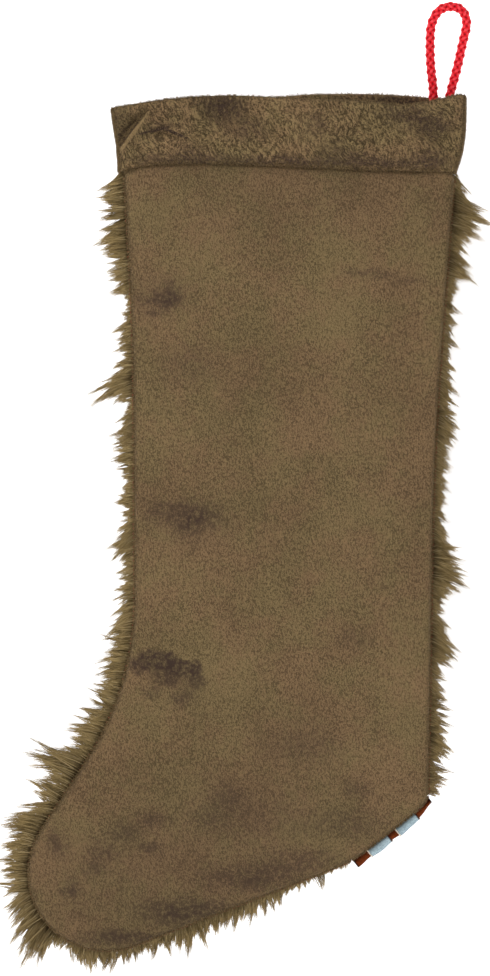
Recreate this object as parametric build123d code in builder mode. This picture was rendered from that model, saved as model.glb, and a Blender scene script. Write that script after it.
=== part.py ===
"""A hanging stocking: plush back, long-pile fur front, doubled plush cuff and a braided cord loop.

Millimetres, +Z up, +X towards the heel, +Y towards the fur front.
The origin is the point inside the top of the loop where it hangs on a hook.
The loop hangs in the plane Y = 0, against the facing of the front cuff, and the seam that joins back
and front lies a little behind it, so that the weight of the fur front hangs under the hook.
"""

import os
from math import pi, radians, tan

from build123d import *

# ---------------------------------------------------------------- driving dimensions

RIM_DROP = 48.7  # from the hook point down to the rim of the cuff
CUFF_HEIGHT = 42.3  # from the rim down to the seam under the cuff
SEAM_Z = -(RIM_DROP + CUFF_HEIGHT)
RIM_Z = -RIM_DROP
SEAM_Y = -4.0  # the side seam's plane

PLUSH = 2.5  # thickness of the plush of the back panel
FUR_BACKING = 2.5  # knitted ground that carries the fur, with the root of the pile
LINING = 0.8
CLEARANCE = 0.2  # between cloth layers that lie on each other
HALF_DEPTH = 12.0  # from the side seam to the face of either panel
EDGE_ROUND = 10.0  # how round a panel turns in to its seam
PILE_DEPTH = 14.0  # fur that stands on the front panel
PILE_OVERHANG = 9.0  # fur that stands out past the side seam
PILE_ROUND = 13.0

CUFF_WIDTH_AT_RIM = 200.0
CUFF_WIDTH_AT_SEAM = 192.0
CUFF_MIDDLE_X = -92.0
CUFF_HALF_DEPTH = 13.5
CUFF_CORNER = 11.0
CUFF_CLOTH = 2.2  # one layer of the folded band
CUFF_GAP = 0.6  # between its outer layer and its facing
CUFF_WALL = 2 * CUFF_CLOTH + CUFF_GAP
RIM_ROUND = 2.3

THREAD = 0.5  # thickness of a seam's stitch line
THREAD_RISE = 0.8  # how far a stitch line reaches to each side of its seam
SIDE_SEAM_INSET = 1.0  # from the edge of a panel to the stitch line inside its rim

CORD_DIAMETER = 5.4
FLEX_Z = -45.0  # where the loop flexes, just above the rim
TAIL_GAP = 1.2  # room for the loop to turn over the sewn tails
TAIL_TOP_Z = FLEX_Z - CORD_DIAMETER / 2 - TAIL_GAP
TAIL_BOTTOM_Z = -72.0
TAIL_FOOT_Y = SEAM_Y + 5.2  # the tails lean over to the facing of the front cuff
WHIPPING_LENGTH = 5.0
WHIPPING = 0.4

PATCH_PROUD = 5.0  # how far the heel patch stands out past the side seam
PATCH_DEPTH = 4.0  # how thick it is on the face of the front panel
PATCH_LENGTH = 50.0  # from the seam to its rounded inner end
PATCH_SLIT = 1.0  # gap between the patch and the fur around it
STRIPE = 0.8  # thickness of the bands sewn on the patch
PATCH_THREAD = 0.7
PATCH_BLOCKS = (10.0, 14.6, 5.2, 14.6, 11.2)  # rust, blue, rust, blue, rust, along the seam
PATCH_WIDTH = sum(PATCH_BLOCKS)
PATCH_START = 1.0  # from the end of the sole to the patch

# corners of the leg and foot as seen from the back, (x, z), with the radius of each corner
HEM_RISE = 20.0  # the shapes run on above the cuff seam, and are cut there
OUTLINE = (
    ((-186.5, SEAM_Z + HEM_RISE), None),  # top of the instep side
    ((-180.0, -180.0), 1500.0),
    ((-179.0, -382.0), 165.0),  # ankle
    ((-249.5, -489.3), 44.0),  # toe, above
    ((-209.3, -539.6), 44.0),  # toe, below
    ((-57.0, -480.6), 60.0),  # where the sole turns up to the heel
    ((-13.6, -446.8), 12.0),  # heel
    ((-10.5, -250.0), 2000.0),
    ((2.9, SEAM_Z + HEM_RISE), None),  # top of the heel side
)

# the loop's route, in its plane Y = 0, as (x, z)
CORD_ROUTE = (
    (-10.2, FLEX_Z),
    (-11.9, -32.5),
    (-12.4, -19.0),
    (-11.8, -6.0),
    (-6.0, CORD_DIAMETER / 2),
    (5.0, CORD_DIAMETER / 2),
    (9.3, -5.5),
    (6.2, -17.5),
    (3.3, -31.5),
    (-0.6, FLEX_Z),
)
TAIL_FOOT_X = (-11.5, -4.6)  # where each tail ends inside the mouth

SEAM = Plane(origin=(0, SEAM_Y, 0), x_dir=(1, 0, 0), z_dir=(0, -1, 0))
BACK, FRONT = 1, -1  # which side of the seam plane a shape is on, along the plane's normal
HEM = Plane.XY.offset(SEAM_Z)  # the top of the leg, where the cuff is sewn on


# ---------------------------------------------------------------- shared shapes


def half_body(side, grow, depth, edge_round=0):
    """One half of the filled leg and foot: the outline grown by some amount, its edge rounded."""
    corners = [point for point, _ in OUTLINE]
    radii = [radius for _, radius in OUTLINE if radius]
    with BuildPart() as shape:
        with BuildSketch(SEAM):
            with BuildLine():
                path = FilletPolyline(*corners, radius=radii)
                Line(path @ 1, path @ 0)
            make_face()
            if grow:
                offset(amount=grow, kind=Kind.INTERSECTION)
        extrude(amount=side * depth)
        if edge_round:
            face = shape.faces().sort_by(Axis.Y)[0 if side == BACK else -1]
            hem = face.edges().sort_by(Axis.Z)[-1]
            fillet([edge for edge in face.edges() if edge != hem], radius=edge_round)
    return shape.part


def cuff_tube(inset, low, high):
    """The cuff's outline all round, set in by some amount and filled, between two heights."""

    def width(z):
        share = (z - SEAM_Z) / CUFF_HEIGHT
        return CUFF_WIDTH_AT_SEAM + share * (CUFF_WIDTH_AT_RIM - CUFF_WIDTH_AT_SEAM)

    with BuildPart() as shape:
        for z in (low, high):
            with BuildSketch(Plane.XY.offset(z)):
                with Locations((CUFF_MIDDLE_X, SEAM_Y)):
                    RectangleRounded(
                        width(z) - 2 * inset,
                        2 * (CUFF_HALF_DEPTH - inset),
                        CUFF_CORNER - inset,
                    )
        loft()
    return shape.part


def heel_place():
    """The plane of the heel patch: origin in the middle of the slanted heel edge, X along it."""
    sole, heel = (Vector(x, SEAM_Y, z) for (x, z), _ in OUTLINE[5:7])
    along = (heel - sole).normalized()
    middle = sole + along * (PATCH_WIDTH / 2 + PATCH_START)
    return Plane(origin=middle, x_dir=along, z_dir=(0, -1, 0))


HEEL = heel_place()


def patch_prism(grow):
    """The patch's outline on the front of the heel, a tongue with a round inner end."""
    half = PATCH_WIDTH / 2 + grow
    with BuildPart() as shape:
        with BuildSketch(HEEL):
            with BuildLine():
                Polyline(
                    (-half, PATCH_LENGTH - half),
                    (-half, -2 * PATCH_PROUD),
                    (half, -2 * PATCH_PROUD),
                    (half, PATCH_LENGTH - half),
                )
                ThreePointArc(
                    (half, PATCH_LENGTH - half),
                    (0, PATCH_LENGTH + grow),
                    (-half, PATCH_LENGTH - half),
                )
            make_face()
        extrude(amount=-2 * (HALF_DEPTH + PILE_DEPTH))
    return shape.part


def patch_bands(bounds):
    """Straight bands across the patch, each from one distance to another along its edge."""
    with BuildPart() as shape:
        with BuildSketch(HEEL):
            for low, high in bounds:
                with Locations(((low + high) / 2, 0)):
                    Rectangle(high - low, 3 * PATCH_LENGTH)
        extrude(amount=-2 * (HALF_DEPTH + PILE_DEPTH))
    return shape.part


def finish(block, name):
    """Labels a finished sub-part and writes it."""
    block.part.label = name
    os.makedirs("parts", exist_ok=True)
    export_step(block.part, f"parts/{name}.step")


# ---------------------------------------------------------------- stitch lines

# the side seam's line lies inside the rims of both panels
side_stitch_outer = [half_body(side, -SIDE_SEAM_INSET, THREAD_RISE) for side in (BACK, FRONT)]
side_stitch_inner = [
    half_body(side, -SIDE_SEAM_INSET - THREAD, 2 * THREAD_RISE) for side in (BACK, FRONT)
]

with BuildPart() as side_seam_thread:
    for shape in side_stitch_outer:
        add(shape)
    for shape in side_stitch_inner:
        add(shape, mode=Mode.SUBTRACT)
    split(bisect_by=Plane.XY.offset(SEAM_Z - 2 * THREAD_RISE), keep=Keep.BOTTOM)
finish(side_seam_thread, "side_seam_thread")

# the cuff seam's line lies half in the gap of the folded band and half in the top of the panels
cuff_stitch_inset = CUFF_CLOTH + (CUFF_GAP - THREAD) / 2
cuff_stitch_ends = SEAM_Z - THREAD_RISE, SEAM_Z + THREAD_RISE
cuff_stitch_outer = cuff_tube(cuff_stitch_inset, *cuff_stitch_ends)
cuff_stitch_inner = cuff_tube(cuff_stitch_inset + THREAD, *cuff_stitch_ends)

with BuildPart() as cuff_seam_thread:
    add(cuff_stitch_outer)
    add(cuff_stitch_inner, mode=Mode.SUBTRACT)
finish(cuff_seam_thread, "cuff_seam_thread")


# ---------------------------------------------------------------- leg and foot

for side, name, cloth in ((BACK, "back_panel", PLUSH), (FRONT, "front_panel", FUR_BACKING)):
    outer = half_body(side, 0, HALF_DEPTH, EDGE_ROUND)
    inner = half_body(side, -cloth, HALF_DEPTH - cloth, EDGE_ROUND - cloth)
    with BuildPart() as panel:
        add(outer)
        add(inner, mode=Mode.SUBTRACT)
        split(bisect_by=HEM, keep=Keep.BOTTOM)
        add(side_seam_thread.part, mode=Mode.SUBTRACT)
        add(cuff_seam_thread.part, mode=Mode.SUBTRACT)
    finish(panel, name)

for side, name, cloth in ((BACK, "lining_back", PLUSH), (FRONT, "lining_front", FUR_BACKING)):
    inset = cloth + CLEARANCE
    outer = half_body(side, -inset, HALF_DEPTH - inset, EDGE_ROUND - inset)
    inset += LINING
    inner = half_body(side, -inset, HALF_DEPTH - inset, EDGE_ROUND - inset)
    with BuildPart() as lining:
        add(outer)
        add(inner, mode=Mode.SUBTRACT)
        split(bisect_by=HEM, keep=Keep.BOTTOM)
    finish(lining, name)


# ---------------------------------------------------------------- fur and heel patch

bare_front = half_body(FRONT, CLEARANCE, HALF_DEPTH + CLEARANCE, EDGE_ROUND + CLEARANCE)
pile_shape = half_body(FRONT, PILE_OVERHANG, HALF_DEPTH + PILE_DEPTH, PILE_ROUND)
patch_clearing = patch_prism(PATCH_SLIT)

with BuildPart() as fur_pile:
    add(pile_shape)
    add(bare_front, mode=Mode.SUBTRACT)
    add(patch_clearing, mode=Mode.SUBTRACT)
    split(bisect_by=Plane.XY.offset(SEAM_Z - THREAD_RISE - CLEARANCE), keep=Keep.BOTTOM)
finish(fur_pile, "fur_pile")


def patch_surface(rise):
    """The front of the heel, grown to the patch's outer face and a little more."""
    return half_body(
        FRONT,
        PATCH_PROUD + rise,
        HALF_DEPTH + PATCH_DEPTH + rise,
        EDGE_ROUND + PATCH_DEPTH + rise,
    )


patch_face = patch_surface(0)
patch_outline = patch_prism(0)

with BuildPart() as heel_patch:
    add(patch_face)
    add(bare_front, mode=Mode.SUBTRACT)
    add(patch_outline, mode=Mode.INTERSECT)
finish(heel_patch, "heel_patch")

block_edges = [sum(PATCH_BLOCKS[:n]) - PATCH_WIDTH / 2 for n in range(len(PATCH_BLOCKS) + 1)]
stripe_bounds = [(block_edges[n], block_edges[n + 1]) for n in (1, 3)]
thread_bounds = [
    bounds
    for low, high in stripe_bounds
    for bounds in ((low - PATCH_THREAD, low), (high, high + PATCH_THREAD))
]
trim_outline = patch_prism(-PATCH_SLIT)

for name, bounds, rise in (
    ("heel_patch_stripes", stripe_bounds, STRIPE),
    ("heel_patch_thread", thread_bounds, PATCH_THREAD / 2),
):
    trim_face = patch_surface(rise)
    bands = patch_bands(bounds)
    with BuildPart() as trim:
        add(trim_face)
        add(patch_face, mode=Mode.SUBTRACT)
        add(trim_outline, mode=Mode.INTERSECT)
        add(bands, mode=Mode.INTERSECT)
    finish(trim, name)


# ---------------------------------------------------------------- cuff

cuff_fold_z = RIM_Z - CUFF_CLOTH  # the gap between the layers ends under the folded rim
cuff_outer = cuff_tube(0, SEAM_Z, RIM_Z)
cuff_mouth = cuff_tube(CUFF_WALL, SEAM_Z, RIM_Z)
gap_outer = cuff_tube(CUFF_CLOTH, SEAM_Z, cuff_fold_z)
gap_inner = cuff_tube(CUFF_CLOTH + CUFF_GAP, SEAM_Z, cuff_fold_z)

with BuildPart() as cuff_gap:
    add(gap_outer)
    add(gap_inner, mode=Mode.SUBTRACT)

for side, name in ((Keep.TOP, "cuff_back"), (Keep.BOTTOM, "cuff_front")):
    with BuildPart() as cuff:
        add(cuff_outer)
        add(cuff_mouth, mode=Mode.SUBTRACT)
        fillet(cuff.edges().group_by(Axis.Z)[-1], radius=RIM_ROUND)
        add(cuff_gap.part, mode=Mode.SUBTRACT)
        split(bisect_by=SEAM, keep=side)
    finish(cuff, name)


# ---------------------------------------------------------------- loop


def route_radii(points):
    """The radius of each corner: as large as its two runs allow."""
    radii = []
    for before, here, after in zip(points, points[1:], points[2:]):
        turn = (here - before).get_angle(after - here)
        shorter = min((here - before).length, (after - here).length)
        radii.append(0.45 * shorter / tan(radians(turn / 2)))
    return radii


route = [Vector(x, 0, z) for x, z in CORD_ROUTE]
radii = route_radii(route)
print("loop corner radii, mm:", ", ".join(f"{radius:.1f}" for radius in radii))

with BuildPart() as hanging_loop:
    with BuildLine() as loop_line:
        FilletPolyline(*route, radius=radii)
    with BuildSketch(Plane(origin=route[0], z_dir=loop_line.line % 0)):
        Circle(CORD_DIAMETER / 2)
    sweep()
    tube_volume = hanging_loop.part.volume
    with Locations(route[0], route[-1]):
        Sphere(CORD_DIAMETER / 2)
finish(hanging_loop, "hanging_loop")

loop_length = sum(edge.length for edge in loop_line.line.edges())
section = pi * CORD_DIAMETER**2 / 4
print(f"loop length {loop_length:.1f} mm")
print(f"loop volume {tube_volume:.0f} mm3, section times length {section * loop_length:.0f} mm3")

tail_lines = [
    (Vector(end.X, 0, TAIL_TOP_Z), Vector(foot_x, TAIL_FOOT_Y, TAIL_BOTTOM_Z))
    for end, foot_x in zip((route[0], route[-1]), TAIL_FOOT_X)
]

with BuildPart() as loop_tails:
    for top, foot in tail_lines:
        with BuildSketch(Plane(origin=foot, z_dir=top - foot)):
            Circle(CORD_DIAMETER / 2)
        extrude(amount=(top - foot).length)
finish(loop_tails, "loop_tails")

with BuildPart() as loop_whipping:
    for top, foot in tail_lines:
        up = (top - foot).normalized()
        with BuildSketch(Plane(origin=foot + up * WHIPPING_LENGTH / 2, z_dir=up)):
            Circle(CORD_DIAMETER / 2 + WHIPPING)
            Circle(CORD_DIAMETER / 2, mode=Mode.SUBTRACT)
        extrude(amount=WHIPPING_LENGTH)
finish(loop_whipping, "loop_whipping")
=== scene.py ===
"""A hanging stocking: plush back, long-pile front, folded plush cuff and a plaited cord loop.

Metres, +Z up, +X towards the heel, -Y towards the plush back, +Y towards the fur front.
"""

import math

import bpy
import numpy as np
from bpy.props import FloatProperty, FloatVectorProperty, IntProperty, PointerProperty
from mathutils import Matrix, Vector
from mathutils.bvhtree import BVHTree
from mathutils.geometry import delaunay_2d_cdt


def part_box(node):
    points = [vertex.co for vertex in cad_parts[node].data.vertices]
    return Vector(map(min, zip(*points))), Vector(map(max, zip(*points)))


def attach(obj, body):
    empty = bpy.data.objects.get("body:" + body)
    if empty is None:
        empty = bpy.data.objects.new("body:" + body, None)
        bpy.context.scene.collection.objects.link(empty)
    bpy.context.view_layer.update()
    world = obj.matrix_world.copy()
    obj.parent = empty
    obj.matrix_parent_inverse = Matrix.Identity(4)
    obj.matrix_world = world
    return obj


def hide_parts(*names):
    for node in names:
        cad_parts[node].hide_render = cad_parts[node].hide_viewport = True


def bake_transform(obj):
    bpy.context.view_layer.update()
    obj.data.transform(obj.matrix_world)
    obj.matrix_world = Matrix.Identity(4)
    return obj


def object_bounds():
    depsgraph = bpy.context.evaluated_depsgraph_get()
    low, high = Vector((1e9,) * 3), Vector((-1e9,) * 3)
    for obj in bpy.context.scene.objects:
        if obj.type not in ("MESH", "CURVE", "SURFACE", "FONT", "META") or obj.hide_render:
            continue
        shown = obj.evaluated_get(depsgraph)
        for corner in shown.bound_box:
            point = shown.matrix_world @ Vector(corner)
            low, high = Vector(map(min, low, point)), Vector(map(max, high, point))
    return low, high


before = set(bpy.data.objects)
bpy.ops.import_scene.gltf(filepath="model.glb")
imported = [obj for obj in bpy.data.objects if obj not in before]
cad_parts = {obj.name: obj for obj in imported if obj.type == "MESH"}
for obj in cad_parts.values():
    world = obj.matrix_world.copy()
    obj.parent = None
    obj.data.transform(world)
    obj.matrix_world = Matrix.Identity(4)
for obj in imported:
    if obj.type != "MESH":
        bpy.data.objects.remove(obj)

bl_info = {
    "name": "Hanging Stocking",
    "version": (1, 0, 0),
    "blender": (4, 5, 0),
    "location": "3D View > Sidebar > Stocking",
    "description": "Builds a fur-fronted hanging stocking piece by piece",
    "category": "Add Mesh",
}

# ---------------------------------------------------------------- sizes from the frame

FRAME_LOW, FRAME_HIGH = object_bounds()
PANEL_LOW, PANEL_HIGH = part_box("back_panel")
CUFF_LOW, CUFF_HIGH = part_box("cuff_back")
LOOP_LOW, LOOP_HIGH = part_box("hanging_loop")
TAIL_LOW, TAIL_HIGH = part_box("loop_tails")

SEAM_Y = PANEL_HIGH.y  # the plane of the side seam
HEM_Z = PANEL_HIGH.z  # where the cuff is sewn to the leg
RIM_Z = CUFF_HIGH.z
PANEL_DEPTH = SEAM_Y - PANEL_LOW.y
CUFF_DEPTH = SEAM_Y - CUFF_LOW.y
BACK, FRONT = -1, 1  # sides of the seam plane, along Y

# ---------------------------------------------------------------- outlines

# corners of the leg and foot, (x, z, radius), down the instep, round the toe and up the heel side
LEG_CORNERS = (
    (-0.1865, HEM_Z + 0.020, 0.0),
    (-0.1800, -0.1800, 1.5),
    (-0.1790, -0.3820, 0.165),
    (-0.2495, -0.4893, 0.044),
    (-0.2093, -0.5396, 0.044),
    (-0.0570, -0.4806, 0.060),
    (-0.0136, -0.4468, 0.012),
    (-0.0105, -0.2500, 2.0),
    (0.0029, HEM_Z + 0.020, 0.0),
)
SOLE_END, HEEL_TIP = LEG_CORNERS[5][:2], LEG_CORNERS[6][:2]

# the hem, the rim of each half of the cuff and the cuff's two ends, as soft lines through (x, z)
HEM_LINE = ((-0.190, -0.0912), (-0.174, -0.0880), (-0.139, -0.0868), (-0.086, -0.0888),
            (-0.043, -0.0906), (0.004, -0.0912))
NEAR_RIM = ((-0.192, -0.0560), (-0.167, -0.0520), (-0.124, -0.0487), (-0.100, -0.0498),
            (-0.086, -0.0507), (-0.050, -0.0522), (-0.029, -0.0541), (-0.012, -0.0506),
            (0.0030, -0.0485), (0.0068, -0.0500), (0.0080, -0.0535))
FAR_RIM = ((-0.192, -0.0555), (-0.160, -0.0515), (-0.110, -0.0490), (-0.084, -0.0465),
           (-0.060, -0.0460), (-0.030, -0.0470), (-0.010, -0.0487), (0.0030, -0.0490),
           (0.0068, -0.0505), (0.0080, -0.0535))
CUFF_LEFT = ((-0.0950, -0.1878), (-0.0787, -0.1887), (-0.0545, -0.1921), (-0.046, -0.1925))
CUFF_RIGHT = ((-0.0950, 0.0004), (-0.0890, 0.0022), (-0.0830, 0.0042), (-0.0740, 0.0060),
              (-0.0545, 0.0070), (-0.046, 0.0070))

# the cord's route: up from one sewn end, round the hook point and down to the other
CORD_ROUTE = (
    (-0.0115, 0.0012, -0.0720),
    (-0.0108, 0.0004, -0.0580),
    (-0.0102, 0.0, -0.0450),
    (-0.0119, 0.0, -0.0325),
    (-0.0124, 0.0, -0.0190),
    (-0.0118, 0.0, -0.0060),
    (-0.0060, 0.0, 0.0027),
    (0.0050, 0.0, 0.0027),
    (0.0093, 0.0, -0.0055),
    (0.0062, 0.0, -0.0175),
    (0.0033, 0.0, -0.0315),
    (-0.0006, 0.0, -0.0450),
    (-0.0028, 0.0004, -0.0580),
    (-0.0046, 0.0012, -0.0720),
)

# widths of the heel patch's blocks along its slanted edge: rust, blue, rust, blue, rust
PATCH_BLOCKS = (0.0100, 0.0146, 0.0052, 0.0146, 0.0112)


# ---------------------------------------------------------------- settings


class CordSettings(bpy.types.PropertyGroup):
    """Sizes and colours of the plaited loop."""

    diameter: FloatProperty(
        name="Diameter", description="Thickness of the cord", default=0.0054, unit="LENGTH"
    )
    lay: FloatProperty(
        name="Lay", description="Length of one turn of a strand", default=0.0190, unit="LENGTH"
    )
    strands: IntProperty(
        name="Strands each way", description="Strands that wind each way", default=4, min=2
    )
    colour: FloatVectorProperty(
        name="Colour", description="Colour of the cord", default=(0.64, 0.0025, 0.010),
        subtype="COLOR",
    )


class PlushSettings(bpy.types.PropertyGroup):
    """The short-pile cloth of the back and the cuff."""

    colour: FloatVectorProperty(
        name="Colour", description="Colour of the pile", default=(0.113, 0.076, 0.036),
        subtype="COLOR",
    )
    # the brushed colour is also the painted shade in the cuff's dents, on its folds and under its
    # bottom edge
    brushed: FloatVectorProperty(
        name="Brushed colour", description="Colour where the pile is brushed against its lie",
        default=(0.034, 0.021, 0.015), subtype="COLOR",
    )
    thickness: FloatProperty(
        name="Thickness", description="Thickness of the cloth", default=0.0022, unit="LENGTH"
    )
    pile: FloatProperty(
        name="Pile length", description="Length of one pile fibre", default=0.0016, unit="LENGTH"
    )


class FurSettings(bpy.types.PropertyGroup):
    """The long pile of the front."""

    length: FloatProperty(
        name="Length", description="Length of a lock", default=0.0210, unit="LENGTH"
    )
    spacing: FloatProperty(
        name="Lock spacing", description="Distance between locks", default=0.0072, unit="LENGTH"
    )
    per_lock: IntProperty(
        name="Fibres in a lock", description="Fibres in one lock", default=30, min=4
    )
    # the root colour is partly the fur's own and partly painted shade at its base
    root: FloatVectorProperty(
        name="Root colour", description="Colour at the skin", default=(0.050, 0.030, 0.011),
        subtype="COLOR",
    )
    tip: FloatVectorProperty(
        name="Tip colour", description="Colour of the tips", default=(0.305, 0.215, 0.086),
        subtype="COLOR",
    )
    seed: IntProperty(name="Seed", description="Seed of the random lie of the fur", default=7)


class PatchSettings(bpy.types.PropertyGroup):
    """The heel patch."""

    felt: FloatVectorProperty(
        name="Felt", description="Colour of the felt", default=(0.116, 0.024, 0.006),
        subtype="COLOR",
    )
    band: FloatVectorProperty(
        name="Bands", description="Colour of the bands", default=(0.310, 0.400, 0.435),
        subtype="COLOR",
    )
    proud: FloatProperty(
        name="Proud", description="How far it stands out past the seam", default=0.0050,
        unit="LENGTH",
    )
    length: FloatProperty(
        name="Length", description="From the seam to its round end", default=0.0500,
        unit="LENGTH",
    )


class StageSettings(bpy.types.PropertyGroup):
    """Camera and lights."""

    distance: FloatProperty(
        name="Camera distance", description="From the camera to the seam plane", default=2.6,
        unit="LENGTH",
    )
    view_height: FloatProperty(
        name="View height", description="Height of the view at the seam plane", default=0.5514,
        unit="LENGTH",
    )
    key_power: FloatProperty(
        name="Key light", description="Power of the key light", default=22.0, unit="POWER"
    )


# ---------------------------------------------------------------- mesh tools


def find(name):
    """A piece that an earlier step made."""
    piece = bpy.data.objects.get(name)
    if piece is None:
        raise RuntimeError(f"{name} has to be made first")
    return piece


def new_piece(name, points, faces, material, smooth=True):
    """Makes a mesh object from points and faces of one size, or from a list of mixed faces."""
    mesh = bpy.data.meshes.new(name)
    points = np.asarray(points, np.float32)
    if isinstance(faces, np.ndarray):
        mesh.vertices.add(len(points))
        mesh.vertices.foreach_set("co", points.ravel())
        mesh.loops.add(faces.size)
        mesh.loops.foreach_set("vertex_index", faces.astype(np.int32).ravel())
        mesh.polygons.add(len(faces))
        starts = np.arange(0, faces.size, faces.shape[1], dtype=np.int32)
        mesh.polygons.foreach_set("loop_start", starts)
        mesh.update(calc_edges=True)
    else:
        mesh.from_pydata(points.tolist(), [], faces)
    mesh.validate()
    mesh.shade_smooth() if smooth else mesh.shade_flat()
    piece = bpy.data.objects.new(name, mesh)
    bpy.context.scene.collection.objects.link(piece)
    mesh.materials.append(material)
    return piece


def set_value(piece, name, values):
    """Stores one number per point, for the materials to read."""
    attribute = piece.data.attributes.new(name, "FLOAT", "POINT")
    attribute.data.foreach_set("value", np.asarray(values, np.float32).ravel())


def smoothed(piece):
    """Rounds a piece's mesh once."""
    smooth = piece.modifiers.new("smooth", "SUBSURF")
    smooth.levels = smooth.render_levels = 1


def put(piece, body, slot, *nodes):
    """Fastens a piece to its body and lets it stand for its nodes; its slot is not used."""
    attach(piece, body)
    if nodes:
        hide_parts(*nodes)
    return piece


def unit(vectors):
    """Vectors of length one."""
    return vectors / np.maximum(np.linalg.norm(vectors, axis=-1, keepdims=True), 1e-12)


def circle(sides):
    """Even angles all the way round."""
    return np.arange(sides) * 2 * math.pi / sides


def soft_line(points, x):
    """Height at x of a smooth line through a few points."""
    places, heights = np.array(points).T
    slopes = np.gradient(heights, places)
    i = np.clip(np.searchsorted(places, x) - 1, 0, len(places) - 2)
    width = places[i + 1] - places[i]
    t = np.clip((x - places[i]) / width, 0, 1)
    ends = heights[i] * (1 + 2 * t) * (1 - t) ** 2 + heights[i + 1] * t * t * (3 - 2 * t)
    return ends + width * (slopes[i] * t * (1 - t) ** 2 - slopes[i + 1] * t * t * (1 - t))


def waves(x, z, size, seed):
    """Smooth uneven waves of about one size, from -1 to 1, that are the same each time."""
    random = np.random.default_rng(seed)
    total = np.zeros(np.broadcast(x, z).shape)
    for _ in range(7):
        angle, phase, stretch = random.uniform(0, (2 * math.pi, 2 * math.pi, 1))
        length = size * (0.7 + stretch)
        total += np.sin((x * math.cos(angle) + z * math.sin(angle)) * 2 * math.pi / length + phase)
    return total / 4.0


def evenly(line, step):
    """Points at even distances along an open line."""
    runs = np.linalg.norm(np.diff(line, axis=0), axis=1)
    along = np.concatenate([[0], np.cumsum(runs)])
    places = np.linspace(0, along[-1], max(2, round(along[-1] / step) + 1))
    return np.stack([np.interp(places, along, line[:, k]) for k in range(line.shape[1])], 1)


def rounded(corners, step):
    """A line through corners (x, z, radius), each turned on an arc of its radius."""
    points = [np.array(corners[0][:2])]
    for before, here, after in zip(corners, corners[1:], corners[2:]):
        at = np.array(here[:2])
        into = unit(at - np.array(before[:2]))
        out = unit(np.array(after[:2]) - at)
        turn = math.acos(float(np.clip(into @ out, -1, 1)))
        side = np.sign(into[0] * out[1] - into[1] * out[0])
        start = at - into * here[2] * math.tan(turn / 2)
        centre = start + np.array((-into[1], into[0])) * side * here[2]
        for share in np.linspace(0, 1, 13):
            angle = side * turn * share
            arm = start - centre
            points.append(centre + np.array((
                arm[0] * math.cos(angle) - arm[1] * math.sin(angle),
                arm[0] * math.sin(angle) + arm[1] * math.cos(angle),
            )))
    points.append(np.array(corners[-1][:2]))
    return evenly(np.array(points), step)


def hem_at(x):
    """Height of the hem."""
    return soft_line(HEM_LINE, x)


def leg_line(step):
    """The edge of the leg and foot below the hem, from the instep side round to the heel side."""
    line = rounded(LEG_CORNERS, step / 4)
    line = line[line[:, 1] < hem_at(line[:, 0])]
    ends = [[x, float(hem_at(x))] for x in (line[0, 0], line[-1, 0])]
    return evenly(np.vstack([ends[0], line, ends[1]]), step)


def outward(line):
    """Outward directions along a line that runs anticlockwise."""
    run = unit(np.gradient(line, axis=0))
    return np.stack([run[:, 1], -run[:, 0]], 1)


def distance_to(line, points):
    """Distance from each point to a line of short runs."""
    start, run = line[:-1], np.diff(line, axis=0)
    nearest = np.full(len(points), np.inf)
    for a, d in zip(start, run):
        share = np.clip(((points - a) @ d) / (d @ d), 0, 1)
        gap = np.linalg.norm(points - a - share[:, None] * d, axis=1)
        nearest = np.minimum(nearest, gap)
    return nearest


def ring_at(amount, spacing):
    """The leg's edge and hem, both moved inwards, as one anticlockwise ring, and the edge's count."""
    whole = leg_line(spacing)
    count = len(whole)
    fine = leg_line(spacing / 3)
    edge = fine - outward(fine) * amount
    edge = edge[edge[:, 1] < hem_at(edge[:, 0]) - amount - 1e-6]
    ends = [[x, float(hem_at(x)) - amount] for x in (edge[0, 0], edge[-1, 0])]
    edge = np.vstack([ends[0], edge, ends[1]])
    length = np.linalg.norm(np.diff(edge, axis=0), axis=1).sum()
    edge = evenly(edge, length / (count - 1))
    hem_count = round((whole[-1, 0] - whole[0, 0]) / spacing)
    hem_x = np.linspace(edge[-1, 0], edge[0, 0], hem_count)[1:-1]
    hem = np.stack([hem_x, hem_at(hem_x) - amount], 1)
    return np.vstack([edge, hem]), count


RIM_RINGS = (0, 0.0005, 0.0013, 0.0026, 0.0045, 0.0070)  # how far in the rows beside the seam lie


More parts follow.
